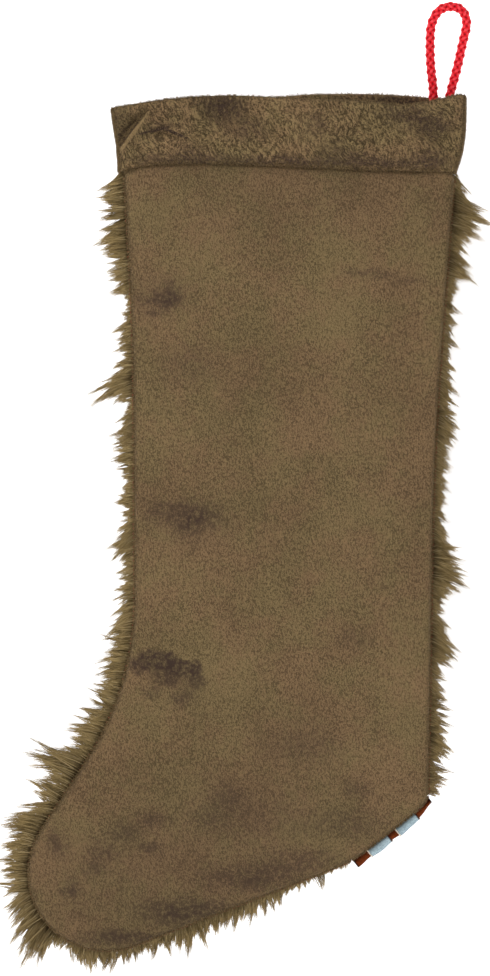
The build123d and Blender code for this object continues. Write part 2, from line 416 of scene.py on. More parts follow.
def half_leg(inset, spacing):
    """A flat net over the leg and foot: points (x, z), faces, distances to the seam and hem."""
    rings = [ring_at(inset + amount, spacing)[0] for amount in RIM_RINGS]
    edge_count = ring_at(inset, spacing)[1]
    count = len(rings[0])
    faces = []
    for level in range(len(rings) - 1):
        low = level * count
        for i in range(count):
            j = (i + 1) % count
            faces.append((low + i, low + j, low + count + j, low + count + i))
    inner = rings[-1]
    low, high = inner.min(0), inner.max(0)
    rows = np.arange(low[1], high[1], spacing * math.sqrt(0.75))
    grid = np.array([
        (x + (n % 2) * spacing / 2, z)
        for n, z in enumerate(rows)
        for x in np.arange(low[0], high[0], spacing)
    ])
    loop = np.vstack([inner, inner[:1]])
    crossings = np.zeros(len(grid), int)
    for (ax, az), (bx, bz) in zip(loop[:-1], loop[1:]):
        if az != bz:
            at = ax + (grid[:, 1] - az) * (bx - ax) / (bz - az)
            crossings += ((az > grid[:, 1]) != (bz > grid[:, 1])) & (grid[:, 0] < at)
    grid = grid[crossings % 2 == 1]
    grid = grid[distance_to(loop, grid) > spacing * 0.6]
    seeds = [Vector(p) for p in np.vstack([inner, grid])]
    ring_edges = [(i, (i + 1) % count) for i in range(count)]
    places, _, triangles, *_ = delaunay_2d_cdt(seeds, ring_edges, [], 1, 1e-7)
    if len(places) != len(seeds):
        raise RuntimeError(f"the net over the leg has {len(places)} points for {len(seeds)}")
    first = (len(rings) - 1) * count
    for a, b, c in triangles:
        faces.append((first + a, first + b, first + c))
    points = np.vstack(rings[:-1] + [np.array([tuple(p) for p in places])])
    seam = distance_to(leg_line(spacing), points)
    hem_gap = np.maximum(hem_at(points[:, 0]) - points[:, 1], 0)
    on_seam = np.zeros(len(points), bool)
    on_seam[:edge_count] = True
    return points, faces, seam, hem_gap, on_seam, count


EDGE_SHARE = 0.66  # of the depth, reached close to the seam
EDGE_REACH = 0.0004
CROWN_REACH = 0.022
HEM_TUCK = 0.0036  # how far the top edge turns in under the cuff
HEM_REACH = 0.0022


def filled(distance, depth):
    """Depth of a flat sewn shape at a distance from its seam: steep at the edge, then flat."""
    steep = EDGE_SHARE * (1 - np.exp(-distance / EDGE_REACH))
    return depth * (steep + (1 - EDGE_SHARE) * (1 - np.exp(-distance / CROWN_REACH)))


def leg_depth(points, seam, hem_gap, depth):
    """Depth of the filled leg below its face, with its slack and the tuck at the hem."""
    x, z = points[:, 0], points[:, 1]
    slack = np.clip(seam / 0.020, 0, 1)
    rise = filled(seam, depth)
    rise += slack * (0.0005 * waves(x, z, 0.085, 3) + 0.00025 * waves(x, z, 0.030, 4))
    rise -= slack * HEM_TUCK * np.exp(-hem_gap / HEM_REACH)
    # the bend of the ankle, where the cloth buckles a little
    fold = (x + 0.150) * 0.42 + (z + 0.372) * 0.91
    rise -= 0.0011 * np.exp(-((fold / 0.006) ** 2)) * np.exp(-(((x + 0.158) / 0.022) ** 2))
    rise += 0.0007 * np.exp(-(((fold + 0.011) / 0.008) ** 2)) * np.exp(-(((x + 0.15) / 0.03) ** 2))
    return np.maximum(rise, 0)


def kept_to_side(points, side, gap):
    """Points held on one side of the seam plane, at least a gap away from it."""
    points = points.copy()
    points[:, 1] = SEAM_Y + side * np.maximum(side * (points[:, 1] - SEAM_Y), gap)
    return points


def shell(name, outer, faces, thickness, side, gap, material):
    """Closes an open sheet into a solid cloth whose inner side stays clear of the seam plane."""
    faces = [tuple(f) for f in faces]
    normals = np.zeros_like(outer)
    for size in {len(f) for f in faces}:
        chosen = np.array([f for f in faces if len(f) == size])
        a, b, c = outer[chosen[:, 0]], outer[chosen[:, 1]], outer[chosen[:, -1]]
        face_normal = np.cross(b - a, c - a)
        for k in range(size):
            np.add.at(normals, chosen[:, k], face_normal)
    inner = kept_to_side(outer - unit(normals) * np.reshape(thickness, (-1, 1)), side, gap)
    count = len(outer)
    edges = {}
    for face in faces:
        for a, b in zip(face, face[1:] + face[:1]):
            if (b, a) in edges:
                del edges[(b, a)]
            else:
                edges[(a, b)] = True
    rims = [(b, a, a + count, b + count) for a, b in edges]
    backs = [tuple(v + count for v in reversed(face)) for face in faces]
    return new_piece(name, np.vstack([outer, inner]), faces + backs + rims, material)


CAP_REACH = (0.45, 0.30)  # how far past a tube's end the rings of its round cap lie, in radii
CAP_SCALE = (0.05, 0.70)  # and how wide they are


def tube(line, radius, sides, reference):
    """Points and faces of a closed tube along a line, with round caps made of shrinking rings."""
    line = np.asarray(line, float)
    run = unit(np.gradient(line, axis=0))
    across = unit(np.cross(run, np.array(reference, float)))
    up = np.cross(across, run)
    centres = [line[0] - run[0] * radius * reach for reach in CAP_REACH]
    centres += list(line)
    centres += [line[-1] + run[-1] * radius * reach for reach in CAP_REACH[::-1]]
    scale = np.concatenate([CAP_SCALE, np.ones(len(line)), CAP_SCALE[::-1]])
    across = np.vstack([across[:1]] * 2 + [across] + [across[-1:]] * 2)
    up = np.vstack([up[:1]] * 2 + [up] + [up[-1:]] * 2)
    angles = circle(sides)
    rings = (
        np.array(centres)[:, None]
        + across[:, None] * (np.cos(angles) * radius)[None, :, None] * scale[:, None, None]
        + up[:, None] * (np.sin(angles) * radius)[None, :, None] * scale[:, None, None]
    )
    count = len(centres)
    faces = [
        (k * sides + j, k * sides + (j + 1) % sides,
         (k + 1) * sides + (j + 1) % sides, (k + 1) * sides + j)
        for k in range(count - 1)
        for j in range(sides)
    ]
    faces.append(tuple(range(sides))[::-1])
    faces.append(tuple((count - 1) * sides + j for j in range(sides)))
    return rings.reshape(-1, 3), faces


def joined(parts):
    """Several (points, faces) as one."""
    points, faces, start = [], [], 0
    for part_points, part_faces in parts:
        points.append(part_points)
        faces += [tuple(v + start for v in face) for face in part_faces]
        start += len(part_points)
    return np.vstack(points), faces


def fibres(name, lines, widths, material, values):
    """A mesh of closed tapering fibres. lines is (fibres, rings, 3) with the root first."""
    sides = 3  # of each fibre
    count, rings, _ = lines.shape
    run = unit(np.gradient(lines, axis=1))
    across = unit(np.cross(run, np.array((0.31, 0.17, 0.93))))
    up = np.cross(across, run)
    angles = circle(sides)
    spread = (
        across[:, :, None] * np.cos(angles)[None, None, :, None]
        + up[:, :, None] * np.sin(angles)[None, None, :, None]
    )
    points = lines[:, :, None] + spread * widths[:, :, None, None]
    pattern = []
    for k in range(rings - 1):
        for j in range(sides):
            low, high = k * sides + j, k * sides + (j + 1) % sides
            pattern.append((low, high, high + sides))
            pattern.append((low, high + sides, low + sides))
    pattern.append((2, 1, 0))
    last = (rings - 1) * sides
    pattern.append((last, last + 1, last + 2))
    faces = np.array(pattern)[None] + (np.arange(count) * rings * sides)[:, None, None]
    piece = new_piece(name, points.reshape(-1, 3), faces.reshape(-1, 3), material)
    per_point = rings * sides
    set_value(piece, "along", np.tile(np.repeat(np.linspace(0, 1, rings), sides), count))
    for key, value in values.items():
        set_value(piece, key, np.repeat(value, per_point))
    return piece


# ---------------------------------------------------------------- material tools


class Tree:
    """Short calls for adding nodes to a node tree."""

    def __init__(self, tree):
        self.tree = tree

    def add(self, kind, settings=None, **inputs):
        """Adds a node, sets its own settings, and sets or links its inputs by name."""
        node = self.tree.nodes.new(kind)
        for key, value in (settings or {}).items():
            setattr(node, key, value)
        for key, value in inputs.items():
            socket = node.inputs[int(key[1:])] if key[1:].isdigit() else node.inputs[
                key.replace("_", " ")]
            if isinstance(value, bpy.types.NodeSocket):
                self.tree.links.new(value, socket)
            else:
                socket.default_value = value
        return node

    def maths(self, operation, first, second=0.0, clamp=False):
        settings = {"operation": operation, "use_clamp": clamp}
        return self.add("ShaderNodeMath", settings, i0=first, i1=second).outputs[0]

    def ramp(self, value, low, high, low_value=0.0, high_value=1.0):
        settings = {"interpolation_type": "SMOOTHSTEP"}
        return self.add(
            "ShaderNodeMapRange", settings, Value=value, From_Min=low, From_Max=high,
            To_Min=low_value, To_Max=high_value,
        ).outputs[0]

    def mix(self, share, first, second, blend="MIX"):
        settings = {"data_type": "RGBA", "blend_type": blend}
        return self.add("ShaderNodeMix", settings, i0=share, i6=first, i7=second).outputs[2]

    def noise(self, vector, scale, detail=2.0, roughness=0.5, distortion=0.0):
        return self.add(
            "ShaderNodeTexNoise", None, Vector=vector, Scale=scale, Detail=detail,
            Roughness=roughness, Distortion=distortion,
        ).outputs[0]

    def stretched(self, vector, scale):
        settings = {"operation": "MULTIPLY"}
        return self.add("ShaderNodeVectorMath", settings, i0=vector, i1=scale).outputs[0]

    def value(self, name):
        settings = {"attribute_name": name}
        return self.add("ShaderNodeAttribute", settings).outputs["Fac"]

    def place(self):
        return self.add("ShaderNodeTexCoord").outputs["Object"]


def node_group(name, inputs, outputs):
    """An empty shader group with named sockets, and the tools to fill it."""
    tree = bpy.data.node_groups.new(name, "ShaderNodeTree")
    for socket, kind, default in inputs:
        made = tree.interface.new_socket(socket, in_out="INPUT", socket_type=kind)
        if default is not None:
            made.default_value = default
    for socket, kind in outputs:
        tree.interface.new_socket(socket, in_out="OUTPUT", socket_type=kind)
    source = tree.nodes.new("NodeGroupInput")
    sink = tree.nodes.new("NodeGroupOutput")
    return Tree(tree), source.outputs, sink.inputs


def use_group(build, nodes, **inputs):
    """Places a shared group, which is built the first time it is used."""
    name = build.__name__
    if name not in bpy.data.node_groups:
        build(name)
    node = nodes.add("ShaderNodeGroup", {"node_tree": bpy.data.node_groups[name]})
    for key, value in inputs.items():
        socket = node.inputs[key.replace("_", " ")]
        if isinstance(value, bpy.types.NodeSocket):
            nodes.tree.links.new(value, socket)
        else:
            socket.default_value = value
    return node.outputs


def pile_grain(name):
    """Grain of a short pile: fine speckle, short dashes that lie one way, and rare flecks."""
    nodes, given, result = node_group(
        name,
        (
            ("Vector", "NodeSocketVector", None),
            ("Speckle Scale", "NodeSocketFloat", 1500.0),
            ("Dash Scale", "NodeSocketFloat", 900.0),
            ("Dash Stretch", "NodeSocketVector", (0.45, 1.0, 1.0)),
            ("Turn", "NodeSocketFloat", 0.0),
            ("Curl", "NodeSocketFloat", 0.004),
            ("Patch Scale", "NodeSocketFloat", 22.0),
            ("Fleck Scale", "NodeSocketFloat", 700.0),
            ("Softness", "NodeSocketFloat", 0.16),
        ),
        (("Shade", "NodeSocketFloat"), ("Height", "NodeSocketFloat"), ("Fleck", "NodeSocketFloat"),
         ("Cast", "NodeSocketFloat")),
    )
    tree = nodes.tree
    place = given["Vector"]
    wander = nodes.add("ShaderNodeTexNoise", None, Vector=place, Scale=60.0, Detail=1.0)
    bent = nodes.add("ShaderNodeVectorMath", {"operation": "MULTIPLY_ADD"},
                     i0=wander.outputs["Color"], i1=given["Curl"], i2=place).outputs[0]
    speckle = nodes.noise(bent, given["Speckle Scale"], 1.0, 0.6)
    turned = nodes.add("ShaderNodeVectorRotate", {"rotation_type": "Y_AXIS"}, Vector=bent,
                       Angle=given["Turn"]).outputs[0]
    lying = nodes.stretched(turned, given["Dash Stretch"])
    dashes = nodes.noise(lying, given["Dash Scale"], 2.0, 0.6)
    patches = nodes.noise(place, given["Patch Scale"], 3.0, 0.6)
    fine = nodes.maths("ADD", nodes.maths("MULTIPLY", speckle, 0.45),
                       nodes.maths("MULTIPLY", dashes, 0.55))
    broad = nodes.maths("MULTIPLY", nodes.maths("SUBTRACT", patches, 0.5), 0.9)
    low = nodes.maths("SUBTRACT", 0.5, given["Softness"])
    high = nodes.maths("ADD", 0.5, given["Softness"])
    tree.links.new(nodes.maths("ADD", nodes.ramp(fine, low, high), broad), result["Shade"])
    tree.links.new(fine, result["Height"])
    cast = nodes.maths("ADD", nodes.maths("MULTIPLY", nodes.noise(place, 34.0, 3.0, 0.6), 0.75),
                       nodes.maths("MULTIPLY", nodes.noise(place, 420.0, 2.0, 0.6), 0.25))
    tree.links.new(nodes.ramp(cast, 0.38, 0.60), result["Cast"])
    tree.links.new(nodes.ramp(nodes.noise(place, given["Fleck Scale"], 2.0, 0.7), 0.60, 0.75),
                   result["Fleck"])


def brushed_place(name):
    """Mask of a place with a ragged edge, used for places where the pile has been brushed the other
    way and for painted shade and painted highlight.
    """
    nodes, given, result = node_group(
        name,
        (
            ("Vector", "NodeSocketVector", None),
            ("Centre", "NodeSocketVector", None),
            ("Size", "NodeSocketVector", (0.02, 1.0, 0.02)),
            ("Strength", "NodeSocketFloat", 1.0),
            ("Sharpness", "NodeSocketFloat", 0.2),
            ("Turn", "NodeSocketFloat", 0.0),
            ("Raggedness", "NodeSocketFloat", 0.014),
        ),
        (("Mask", "NodeSocketFloat"),),
    )
    wander = nodes.add("ShaderNodeTexNoise", None, Vector=given["Vector"], Scale=110.0, Detail=4.0,
                       Roughness=0.7).outputs["Color"]
    even = nodes.add("ShaderNodeVectorMath", {"operation": "SUBTRACT"}, i0=wander,
                     i1=(0.5, 0.5, 0.5)).outputs[0]
    ragged = nodes.add("ShaderNodeVectorMath", {"operation": "MULTIPLY_ADD"}, i0=even,
                       i1=given["Raggedness"], i2=given["Vector"]).outputs[0]
    centred = nodes.add("ShaderNodeVectorMath", {"operation": "SUBTRACT"}, i0=ragged,
                        i1=given["Centre"]).outputs[0]
    flat = nodes.stretched(centred, (1.0, 0.0, 1.0))
    turned = nodes.add("ShaderNodeVectorRotate", {"rotation_type": "Y_AXIS"}, Vector=flat,
                       Angle=given["Turn"]).outputs[0]
    scaled = nodes.add("ShaderNodeVectorMath", {"operation": "DIVIDE"}, i0=turned,
                       i1=given["Size"]).outputs[0]
    away = nodes.add("ShaderNodeVectorMath", {"operation": "LENGTH"}, i0=scaled).outputs["Value"]
    mask = nodes.ramp(away, 1.15, given["Sharpness"])
    grain = nodes.ramp(nodes.noise(given["Vector"], 420.0, 2.0, 0.7), 0.35, 0.62, 0.35, 1.0)
    strong = nodes.maths("MULTIPLY", nodes.maths("MULTIPLY", mask, grain), given["Strength"])
    nodes.tree.links.new(strong, result["Mask"])


def twisted_yarn(name):
    """Fine threads that wind round a strand, with painted shade in the grooves between them and
    uneven tone.
    """
    nodes, given, result = node_group(
        name,
        (
            ("Along", "NodeSocketFloat", 0.0),
            ("Around", "NodeSocketFloat", 0.0),
            ("Threads", "NodeSocketFloat", 6.0),
            ("Pitch", "NodeSocketFloat", 400.0),
        ),
        (("Height", "NodeSocketFloat"), ("Shade", "NodeSocketFloat")),
    )
    turn = nodes.maths("ADD", nodes.maths("MULTIPLY", given["Around"], given["Threads"]),
                       nodes.maths("MULTIPLY", given["Along"], given["Pitch"]))
    ridge = nodes.maths("ABSOLUTE", nodes.maths("SINE", turn))
    place = nodes.add("ShaderNodeCombineXYZ", None,
                      X=nodes.maths("MULTIPLY", given["Along"], 260.0),
                      Y=nodes.maths("MULTIPLY", given["Around"], 5.0)).outputs[0]
    uneven = nodes.noise(place, 1.0, 3.0, 0.6)
    nodes.tree.links.new(nodes.maths("ADD", ridge, nodes.maths("MULTIPLY", uneven, 0.6)),
                         result["Height"])
    # Shade: painted shade in the grooves between the threads, and uneven tone
    nodes.tree.links.new(
        nodes.maths("ADD", nodes.maths("MULTIPLY", ridge, 0.5),
                    nodes.maths("MULTIPLY", uneven, 0.5)), result["Shade"])


def woven_ground(name):
    """A plain weave: threads over and under, with painted shade where a thread passes under, and
    uneven yarn.
    """
    nodes, given, result = node_group(
        name,
        (("Vector", "NodeSocketVector", None), ("Threads", "NodeSocketFloat", 2200.0)),
        (("Height", "NodeSocketFloat"), ("Shade", "NodeSocketFloat")),
    )
    parts = nodes.add("ShaderNodeSeparateXYZ", None, Vector=given["Vector"]).outputs
    warp = nodes.maths("SINE", nodes.maths("MULTIPLY", parts["X"], given["Threads"]))
    weft = nodes.maths("SINE", nodes.maths("MULTIPLY", parts["Z"], given["Threads"]))
    weave = nodes.maths("MULTIPLY", warp, weft)
    uneven = nodes.noise(given["Vector"], 700.0, 3.0, 0.6)
    nodes.tree.links.new(nodes.maths("ADD", nodes.maths("MULTIPLY", weave, 0.4), uneven),
                         result["Height"])
    # painted shade where a thread passes under another, and uneven yarn
    nodes.tree.links.new(nodes.ramp(nodes.maths("ADD", nodes.maths("MULTIPLY", weave, 0.15),
                                                uneven), 0.3, 0.75), result["Shade"])


def new_material(name, roughness=0.9, sheen=0.0, sheen_tint=(1, 1, 1), sheen_roughness=0.5,
                 specular=0.3):
    """A material with its shader, and the tools to add to it."""
    material = bpy.data.materials.new(name)
    material.use_nodes = True
    shader = material.node_tree.nodes["Principled BSDF"]
    shader.inputs["Roughness"].default_value = roughness
    shader.inputs["Specular IOR Level"].default_value = specular
    shader.inputs["Sheen Weight"].default_value = sheen
    shader.inputs["Sheen Tint"].default_value = (*sheen_tint, 1)
    shader.inputs["Sheen Roughness"].default_value = sheen_roughness
    return material, Tree(material.node_tree), shader


def colour_and_bump(nodes, shader, colour, height, strength, depth):
    """Feeds a colour and a bump to a shader."""
    nodes.tree.links.new(colour, shader.inputs["Base Color"])
    bump = nodes.add("ShaderNodeBump", None, Strength=strength, Distance=depth, Height=height)
    nodes.tree.links.new(bump.outputs[0], shader.inputs["Normal"])


def solid(colour, gain=1.0):
    """A colour with its alpha."""
    return tuple(min(c * gain, 1.0) for c in colour) + (1.0,)


# brushed places, and in the last three rows broad darker areas over the foot and the top of the leg,
# (x, z, half width, half height, strength, sharpness of the edge)
BACK_BRUSHED = (
    (-0.159, -0.162, 0.010, 0.010, 0.80, 0.1),
    (-0.166, -0.164, 0.018, 0.0055, 0.72, 0.1),
    (-0.168, -0.172, 0.008, 0.004, 0.55, 0.1),
    (-0.163, -0.160, 0.026, 0.017, 0.35, 0.0),
    (-0.148, -0.200, 0.020, 0.016, 0.30, 0.1),
    (-0.146, -0.286, 0.019, 0.012, 0.92, 0.1),
    (-0.147, -0.290, 0.028, 0.018, 0.40, 0.0),
    (-0.166, -0.283, 0.014, 0.009, 0.50, 0.1),
    (-0.166, -0.367, 0.014, 0.007, 0.95, 0.7),
    (-0.153, -0.371, 0.012, 0.0050, 0.95, 0.7),
    (-0.145, -0.378, 0.007, 0.006, 0.75, 0.4),
    (-0.160, -0.376, 0.013, 0.008, 0.85, 0.2),
    (-0.178, -0.371, 0.004, 0.005, 0.75, 0.5),
    (-0.151, -0.388, 0.012, 0.008, 0.60, 0.2),
    (-0.170, -0.385, 0.007, 0.006, 0.50, 0.2),
    (-0.048, -0.149, 0.020, 0.005, 0.50, 0.1),
    (-0.025, -0.153, 0.014, 0.004, 0.45, 0.1),
    (-0.056, -0.354, 0.013, 0.007, 0.35, 0.1),
    (-0.083, -0.414, 0.030, 0.016, 0.45, 0.0),
    (-0.053, -0.440, 0.012, 0.007, 0.55, 0.1),
    (-0.060, -0.458, 0.034, 0.012, 0.50, 0.0),
    (-0.115, -0.455, 0.045, 0.020, 0.30, 0.0),
    (-0.169, -0.456, 0.014, 0.0055, 0.62, 0.1),
    (-0.185, -0.464, 0.013, 0.008, 0.55, 0.1),
    (-0.197, -0.474, 0.012, 0.008, 0.60, 0.1),
    (-0.171, -0.472, 0.011, 0.005, 0.62, 0.1),
    (-0.127, -0.443, 0.014, 0.012, 0.50, 0.1),
    (-0.137, -0.455, 0.012, 0.008, 0.45, 0.1),
    (-0.223, -0.469, 0.009, 0.012, 0.60, 0.1),
    (-0.202, -0.484, 0.009, 0.006, 0.50, 0.1),
    (-0.2156, -0.496, 0.007, 0.008, 0.85, 0.1),
    (-0.114, -0.489, 0.040, 0.011, 0.80, 0.1),
    (-0.150, -0.508, 0.040, 0.011, 0.92, 0.1),
    (-0.184, -0.523, 0.036, 0.006, 0.88, 0.1),
    (-0.085, -0.480, 0.030, 0.010, 0.60, 0.1),
    (-0.200, -0.500, 0.080, 0.060, 0.22, 0.0),
    (-0.120, -0.470, 0.110, 0.060, 0.16, 0.0),
    (-0.090, -0.100, 0.150, 0.045, 0.12, 0.0),
)
# brushed pile, painted shade at the dents and a painted shadow line under the cuff's bottom edge
CUFF_BRUSHED_AND_SHADE = (
    (-0.129, -0.057, 0.017, 0.011, 0.95, 0.1),
    (-0.133, -0.053, 0.020, 0.010, 0.55, 0.1),
    (-0.116, -0.068, 0.017, 0.010, 0.60, 0.1),
    (-0.147, -0.080, 0.012, 0.007, 0.60, 0.1),
    (-0.020, -0.062, 0.018, 0.011, 0.90, 0.1),
    (-0.010, -0.068, 0.012, 0.009, 0.85, 0.1),
    (-0.033, -0.059, 0.014, 0.006, 0.65, 0.1),
    (-0.012, -0.082, 0.012, 0.007, 0.60, 0.1),
    (-0.077, -0.064, 0.010, 0.010, 0.55, 0.1),
    (-0.068, -0.078, 0.010, 0.008, 0.50, 0.1),
    (-0.150, -0.085, 0.045, 0.0045, 0.85, 0.1),
    (-0.095, -0.0865, 0.060, 0.0040, 0.85, 0.1),
    (-0.030, -0.087, 0.050, 0.0050, 0.90, 0.1),
    (-0.060, -0.083, 0.020, 0.0060, 0.50, 0.1),
    (-0.188, -0.066, 0.010, 0.016, 0.55, 0.0),
)
# painted shade and painted highlight along the folds: x, z, half width, half height, strength
# (painted highlight if it is less than nothing, painted shade if more), sharpness, turn
CUFF_FOLD_SHADE_AND_HIGHLIGHT = (
    (-0.1850, -0.0700, 0.0040, 0.0170, 0.75, 0.0, -0.635),
    (-0.1816, -0.0725, 0.0013, 0.0180, -1.6, 0.4, -0.635),
    (-0.1833, -0.0713, 0.0010, 0.0150, 2.4, 0.5, -0.635),
    (-0.1678, -0.0686, 0.0115, 0.0011, 1.5, 0.4, 0.235),
    (-0.1555, -0.0705, 0.0095, 0.0011, 1.5, 0.4, -0.415),
    (-0.1640, -0.0668, 0.0150, 0.0040, 0.45, 0.0, 0.05),
)
FAR_BRUSHED = ((-0.030, -0.051, 0.035, 0.0060, 0.95, 0.3),)

# grain of the leg's plush and of the cuff's, and how strongly it shows
LEG_GRAIN = {"Speckle_Scale": 1900.0, "Dash_Scale": 1500.0, "Dash_Stretch": (1.0, 1.0, 0.42),
             "Turn": 0.15, "Curl": 0.004, "Fleck_Scale": 900.0, "Softness": 0.10}
CUFF_GRAIN = {"Speckle_Scale": 1500.0, "Dash_Scale": 900.0, "Dash_Stretch": (1.0, 1.0, 0.36),
              "Turn": 0.45, "Curl": 0.011, "Fleck_Scale": 600.0, "Softness": 0.085}
LEG_LOOK = {"grain": LEG_GRAIN, "dark": 0.56, "light": 1.42, "flecks": 0.25, "depth": 0.0006}
CUFF_LOOK = {"grain": CUFF_GRAIN, "dark": 0.42, "light": 1.72, "flecks": 0.40, "depth": 0.0010}
FLECK_COLOUR = (0.18, 0.10, 0.06)
FOLD_HIGHLIGHT_GAIN = 1.75  # how much lighter the painted highlight on a fold's ridge is
FOLD_EDGE, BRUSHED_EDGE = 0.0008, 0.014  # raggedness of the edge


def plush_material(name, settings, brushed, look):
    """Short pile with its grain, brushed places, flecks and a soft sheen; on the cuff also painted
    shade in its dents, on its folds and under its bottom edge, and painted highlight on its folds.
    """
    material, nodes, shader = new_material(
        name, roughness=0.92, sheen=0.12, sheen_tint=(0.85, 0.66, 0.45), sheen_roughness=0.45,
        specular=0.08,
    )
    place = nodes.place()
    grain = use_group(pile_grain, nodes, Vector=place, **look["grain"])
    red, green, blue = settings.colour
    warm = (red * 1.03, green * 0.970, blue * 1.02)
    cool = (red * 0.97, green * 1.018, blue * 0.98)
    dark, light = (
        nodes.mix(grain["Cast"], solid(cool, look[gain]), solid(warm, look[gain]))
        for gain in ("dark", "light")
    )
    tint = nodes.mix(grain["Shade"], dark, light)
    fleck = nodes.maths("MULTIPLY", grain["Fleck"], look["flecks"])
    tint = nodes.mix(fleck, tint, solid(FLECK_COLOUR))
    # marks: brushed places of the pile, and on the cuff painted shade in the brushed colour and
    # painted highlight on the folds
    for x, z, wide, high, strength, sharpness, *turn in brushed:
        mask = use_group(
            brushed_place, nodes, Vector=place, Centre=(x, 0, z), Size=(wide, 1.0, high),
            Strength=abs(strength), Sharpness=sharpness, Turn=turn[0] if turn else 0.0,
            Raggedness=FOLD_EDGE if turn else BRUSHED_EDGE,
        )["Mask"]
        # painted highlight on a fold's ridge; the dark marks take the brushed colour
        fold_highlight = solid(settings.colour, FOLD_HIGHLIGHT_GAIN)
        tint = nodes.mix(mask, tint, solid(settings.brushed) if strength > 0 else fold_highlight)
    colour_and_bump(nodes, shader, tint, grain["Height"], 0.55, look["depth"])
    return material


def fur_material(name, settings):
    """Long fibres, dark at the root, partly their own colour and partly painted shade at the base,
    and light at the tip; each lock and fibre its own tone.
    """
    material, nodes, shader = new_material(name, roughness=0.62, specular=0.16)
    along, lock, fibre = nodes.value("along"), nodes.value("lock"), nodes.value("fibre")
    middle = tuple(0.3 * a + 0.7 * b * 0.72 for a, b in zip(settings.root, settings.tip))
    # dark at the root: partly the fur's own colour, partly painted shade at its base
    colour = nodes.mix(nodes.ramp(along, 0.02, 0.38), solid(settings.root), solid(middle))
    colour = nodes.mix(nodes.ramp(along, 0.30, 0.90), colour, solid(settings.tip))
    colour = nodes.mix(nodes.ramp(lock, 0.55, 1.0, 0.0, 0.40), colour, solid((0.125, 0.078, 0.028)))
    colour = nodes.mix(nodes.ramp(fibre, 0.60, 1.0, 0.0, 0.55), colour,
                       solid((0.45, 0.34, 0.17)))
    colour = nodes.mix(nodes.ramp(fibre, 0.38, 0.0, 0.0, 0.70), colour,
                       solid((0.060, 0.040, 0.014)))
    streak = nodes.noise(nodes.place(), 900.0, 2.0, 0.6)
    colour_and_bump(nodes, shader, colour, streak, 0.2, 0.0002)
    return material


def thread_material(name, colour):
    """Sewing thread: fine twist and uneven dye."""
    material, nodes, shader = new_material(name, roughness=0.55, specular=0.4)
    grain = nodes.noise(nodes.place(), 2600.0, 2.0, 0.6)
    tint = nodes.mix(nodes.ramp(grain, 0.35, 0.65), solid(colour, 0.6), solid(colour, 1.25))
    colour_and_bump(nodes, shader, tint, grain, 0.5, 0.0002)
    return material


def cord_material(name, settings):
    """Glossy yarn with fine threads, with a painted highlight on the crowns and painted shade in the
    gaps of the plait.
    """
    material, nodes, shader = new_material(name, roughness=0.42, specular=0.22)
    yarn = use_group(twisted_yarn, nodes, Along=nodes.value("along"),
                     Around=nodes.value("around"), Threads=5.0, Pitch=900.0)
    depth = nodes.value("depth")
    # the threads of the yarn: painted shade in the grooves between them, and uneven tone
    tint = nodes.mix(nodes.ramp(yarn["Shade"], 0.25, 0.75), solid(settings.colour, 0.80),
                     solid(settings.colour, 1.15))
    # painted highlight on the crowns of the upper strands
    crown_highlight = nodes.maths("MULTIPLY", nodes.ramp(depth, 1.25, 1.95),
                        nodes.ramp(yarn["Shade"], 0.35, 0.85, 0.30, 0.80))
    tint = nodes.mix(crown_highlight, tint, solid((0.95, 0.075, 0.095)))
    # painted shade in the gaps of the plait, darkest on the core and on the sides of the under
    # strands
    tint = nodes.mix(nodes.ramp(depth, 1.10, 0.30, 0.0, 0.85), tint, solid((0.33, 0.001, 0.006)))
    colour_and_bump(nodes, shader, tint, yarn["Height"], 0.6, 0.00025)
    return material


def cloth_material(name, colour, threads):
    """Plain woven or knitted cloth."""
    material, nodes, shader = new_material(name, roughness=0.85, sheen=0.1)
    weave = use_group(woven_ground, nodes, Vector=nodes.place(), Threads=threads)
    tint = nodes.mix(weave["Shade"], solid(colour, 0.55), solid(colour, 1.25))
    colour_and_bump(nodes, shader, tint, weave["Height"], 0.5, 0.0004)
    return material


def felt_material(name, colour, worn, shaded):
    """Felt or soft band: matted grain, with paler flecks and painted shade along its edges."""
    material, nodes, shader = new_material(name, roughness=0.92, specular=0.04)
    place = nodes.place()
    grain = use_group(pile_grain, nodes, Vector=place, Speckle_Scale=2200.0, Dash_Scale=1300.0,
                      Dash_Stretch=(0.6, 1.0, 0.6), Patch_Scale=60.0)
    tint = nodes.mix(grain["Shade"], solid(colour, 0.70), solid(colour, 1.15))
    tint = nodes.mix(nodes.maths("MULTIPLY", grain["Fleck"], 0.4), tint, solid(worn))
    # painted shade along the strip's dark columns
    tint = nodes.mix(nodes.ramp(nodes.value("cut"), 0.25, 0.75, 0.0, 1.0), tint, solid(shaded))
    colour_and_bump(nodes, shader, tint, grain["Height"], 0.5, 0.0008)
    return material


def made_once(build, name, *given):
    """The material of that name, built if it isn't there."""
    return bpy.data.materials.get(name) or build(name, *given)


# ---------------------------------------------------------------- stage


SENSOR = 36.0  # millimetres
VIEW_SHIFT_X = 0.00145  # from the middle of the frame to the middle of the view
VIEW_SHIFT_Z = -0.00246
WORLD_LIGHT = 0.55
PAPER_GLOW = 0.42
FLOOR_Z = -0.560
FLOOR_REACH = 9.0
BACKDROP_Y = 0.060
BACKDROP_REACH, BACKDROP_HEIGHT = 2.5, 3.0

# name, place from the middle of the stocking, size and share of the key light's power
LIGHTS = (
    ("key", (-1.5, -2.0, 1.3), 1.2, 1.6),
    ("fill", (1.6, -2.2, 0.2), 1.8, 0.35),
    ("front_key", (1.4, 2.0, 1.1), 1.3, 1.4),
    ("front_fill", (-1.6, 2.0, 0.1), 1.8, 0.5),
)


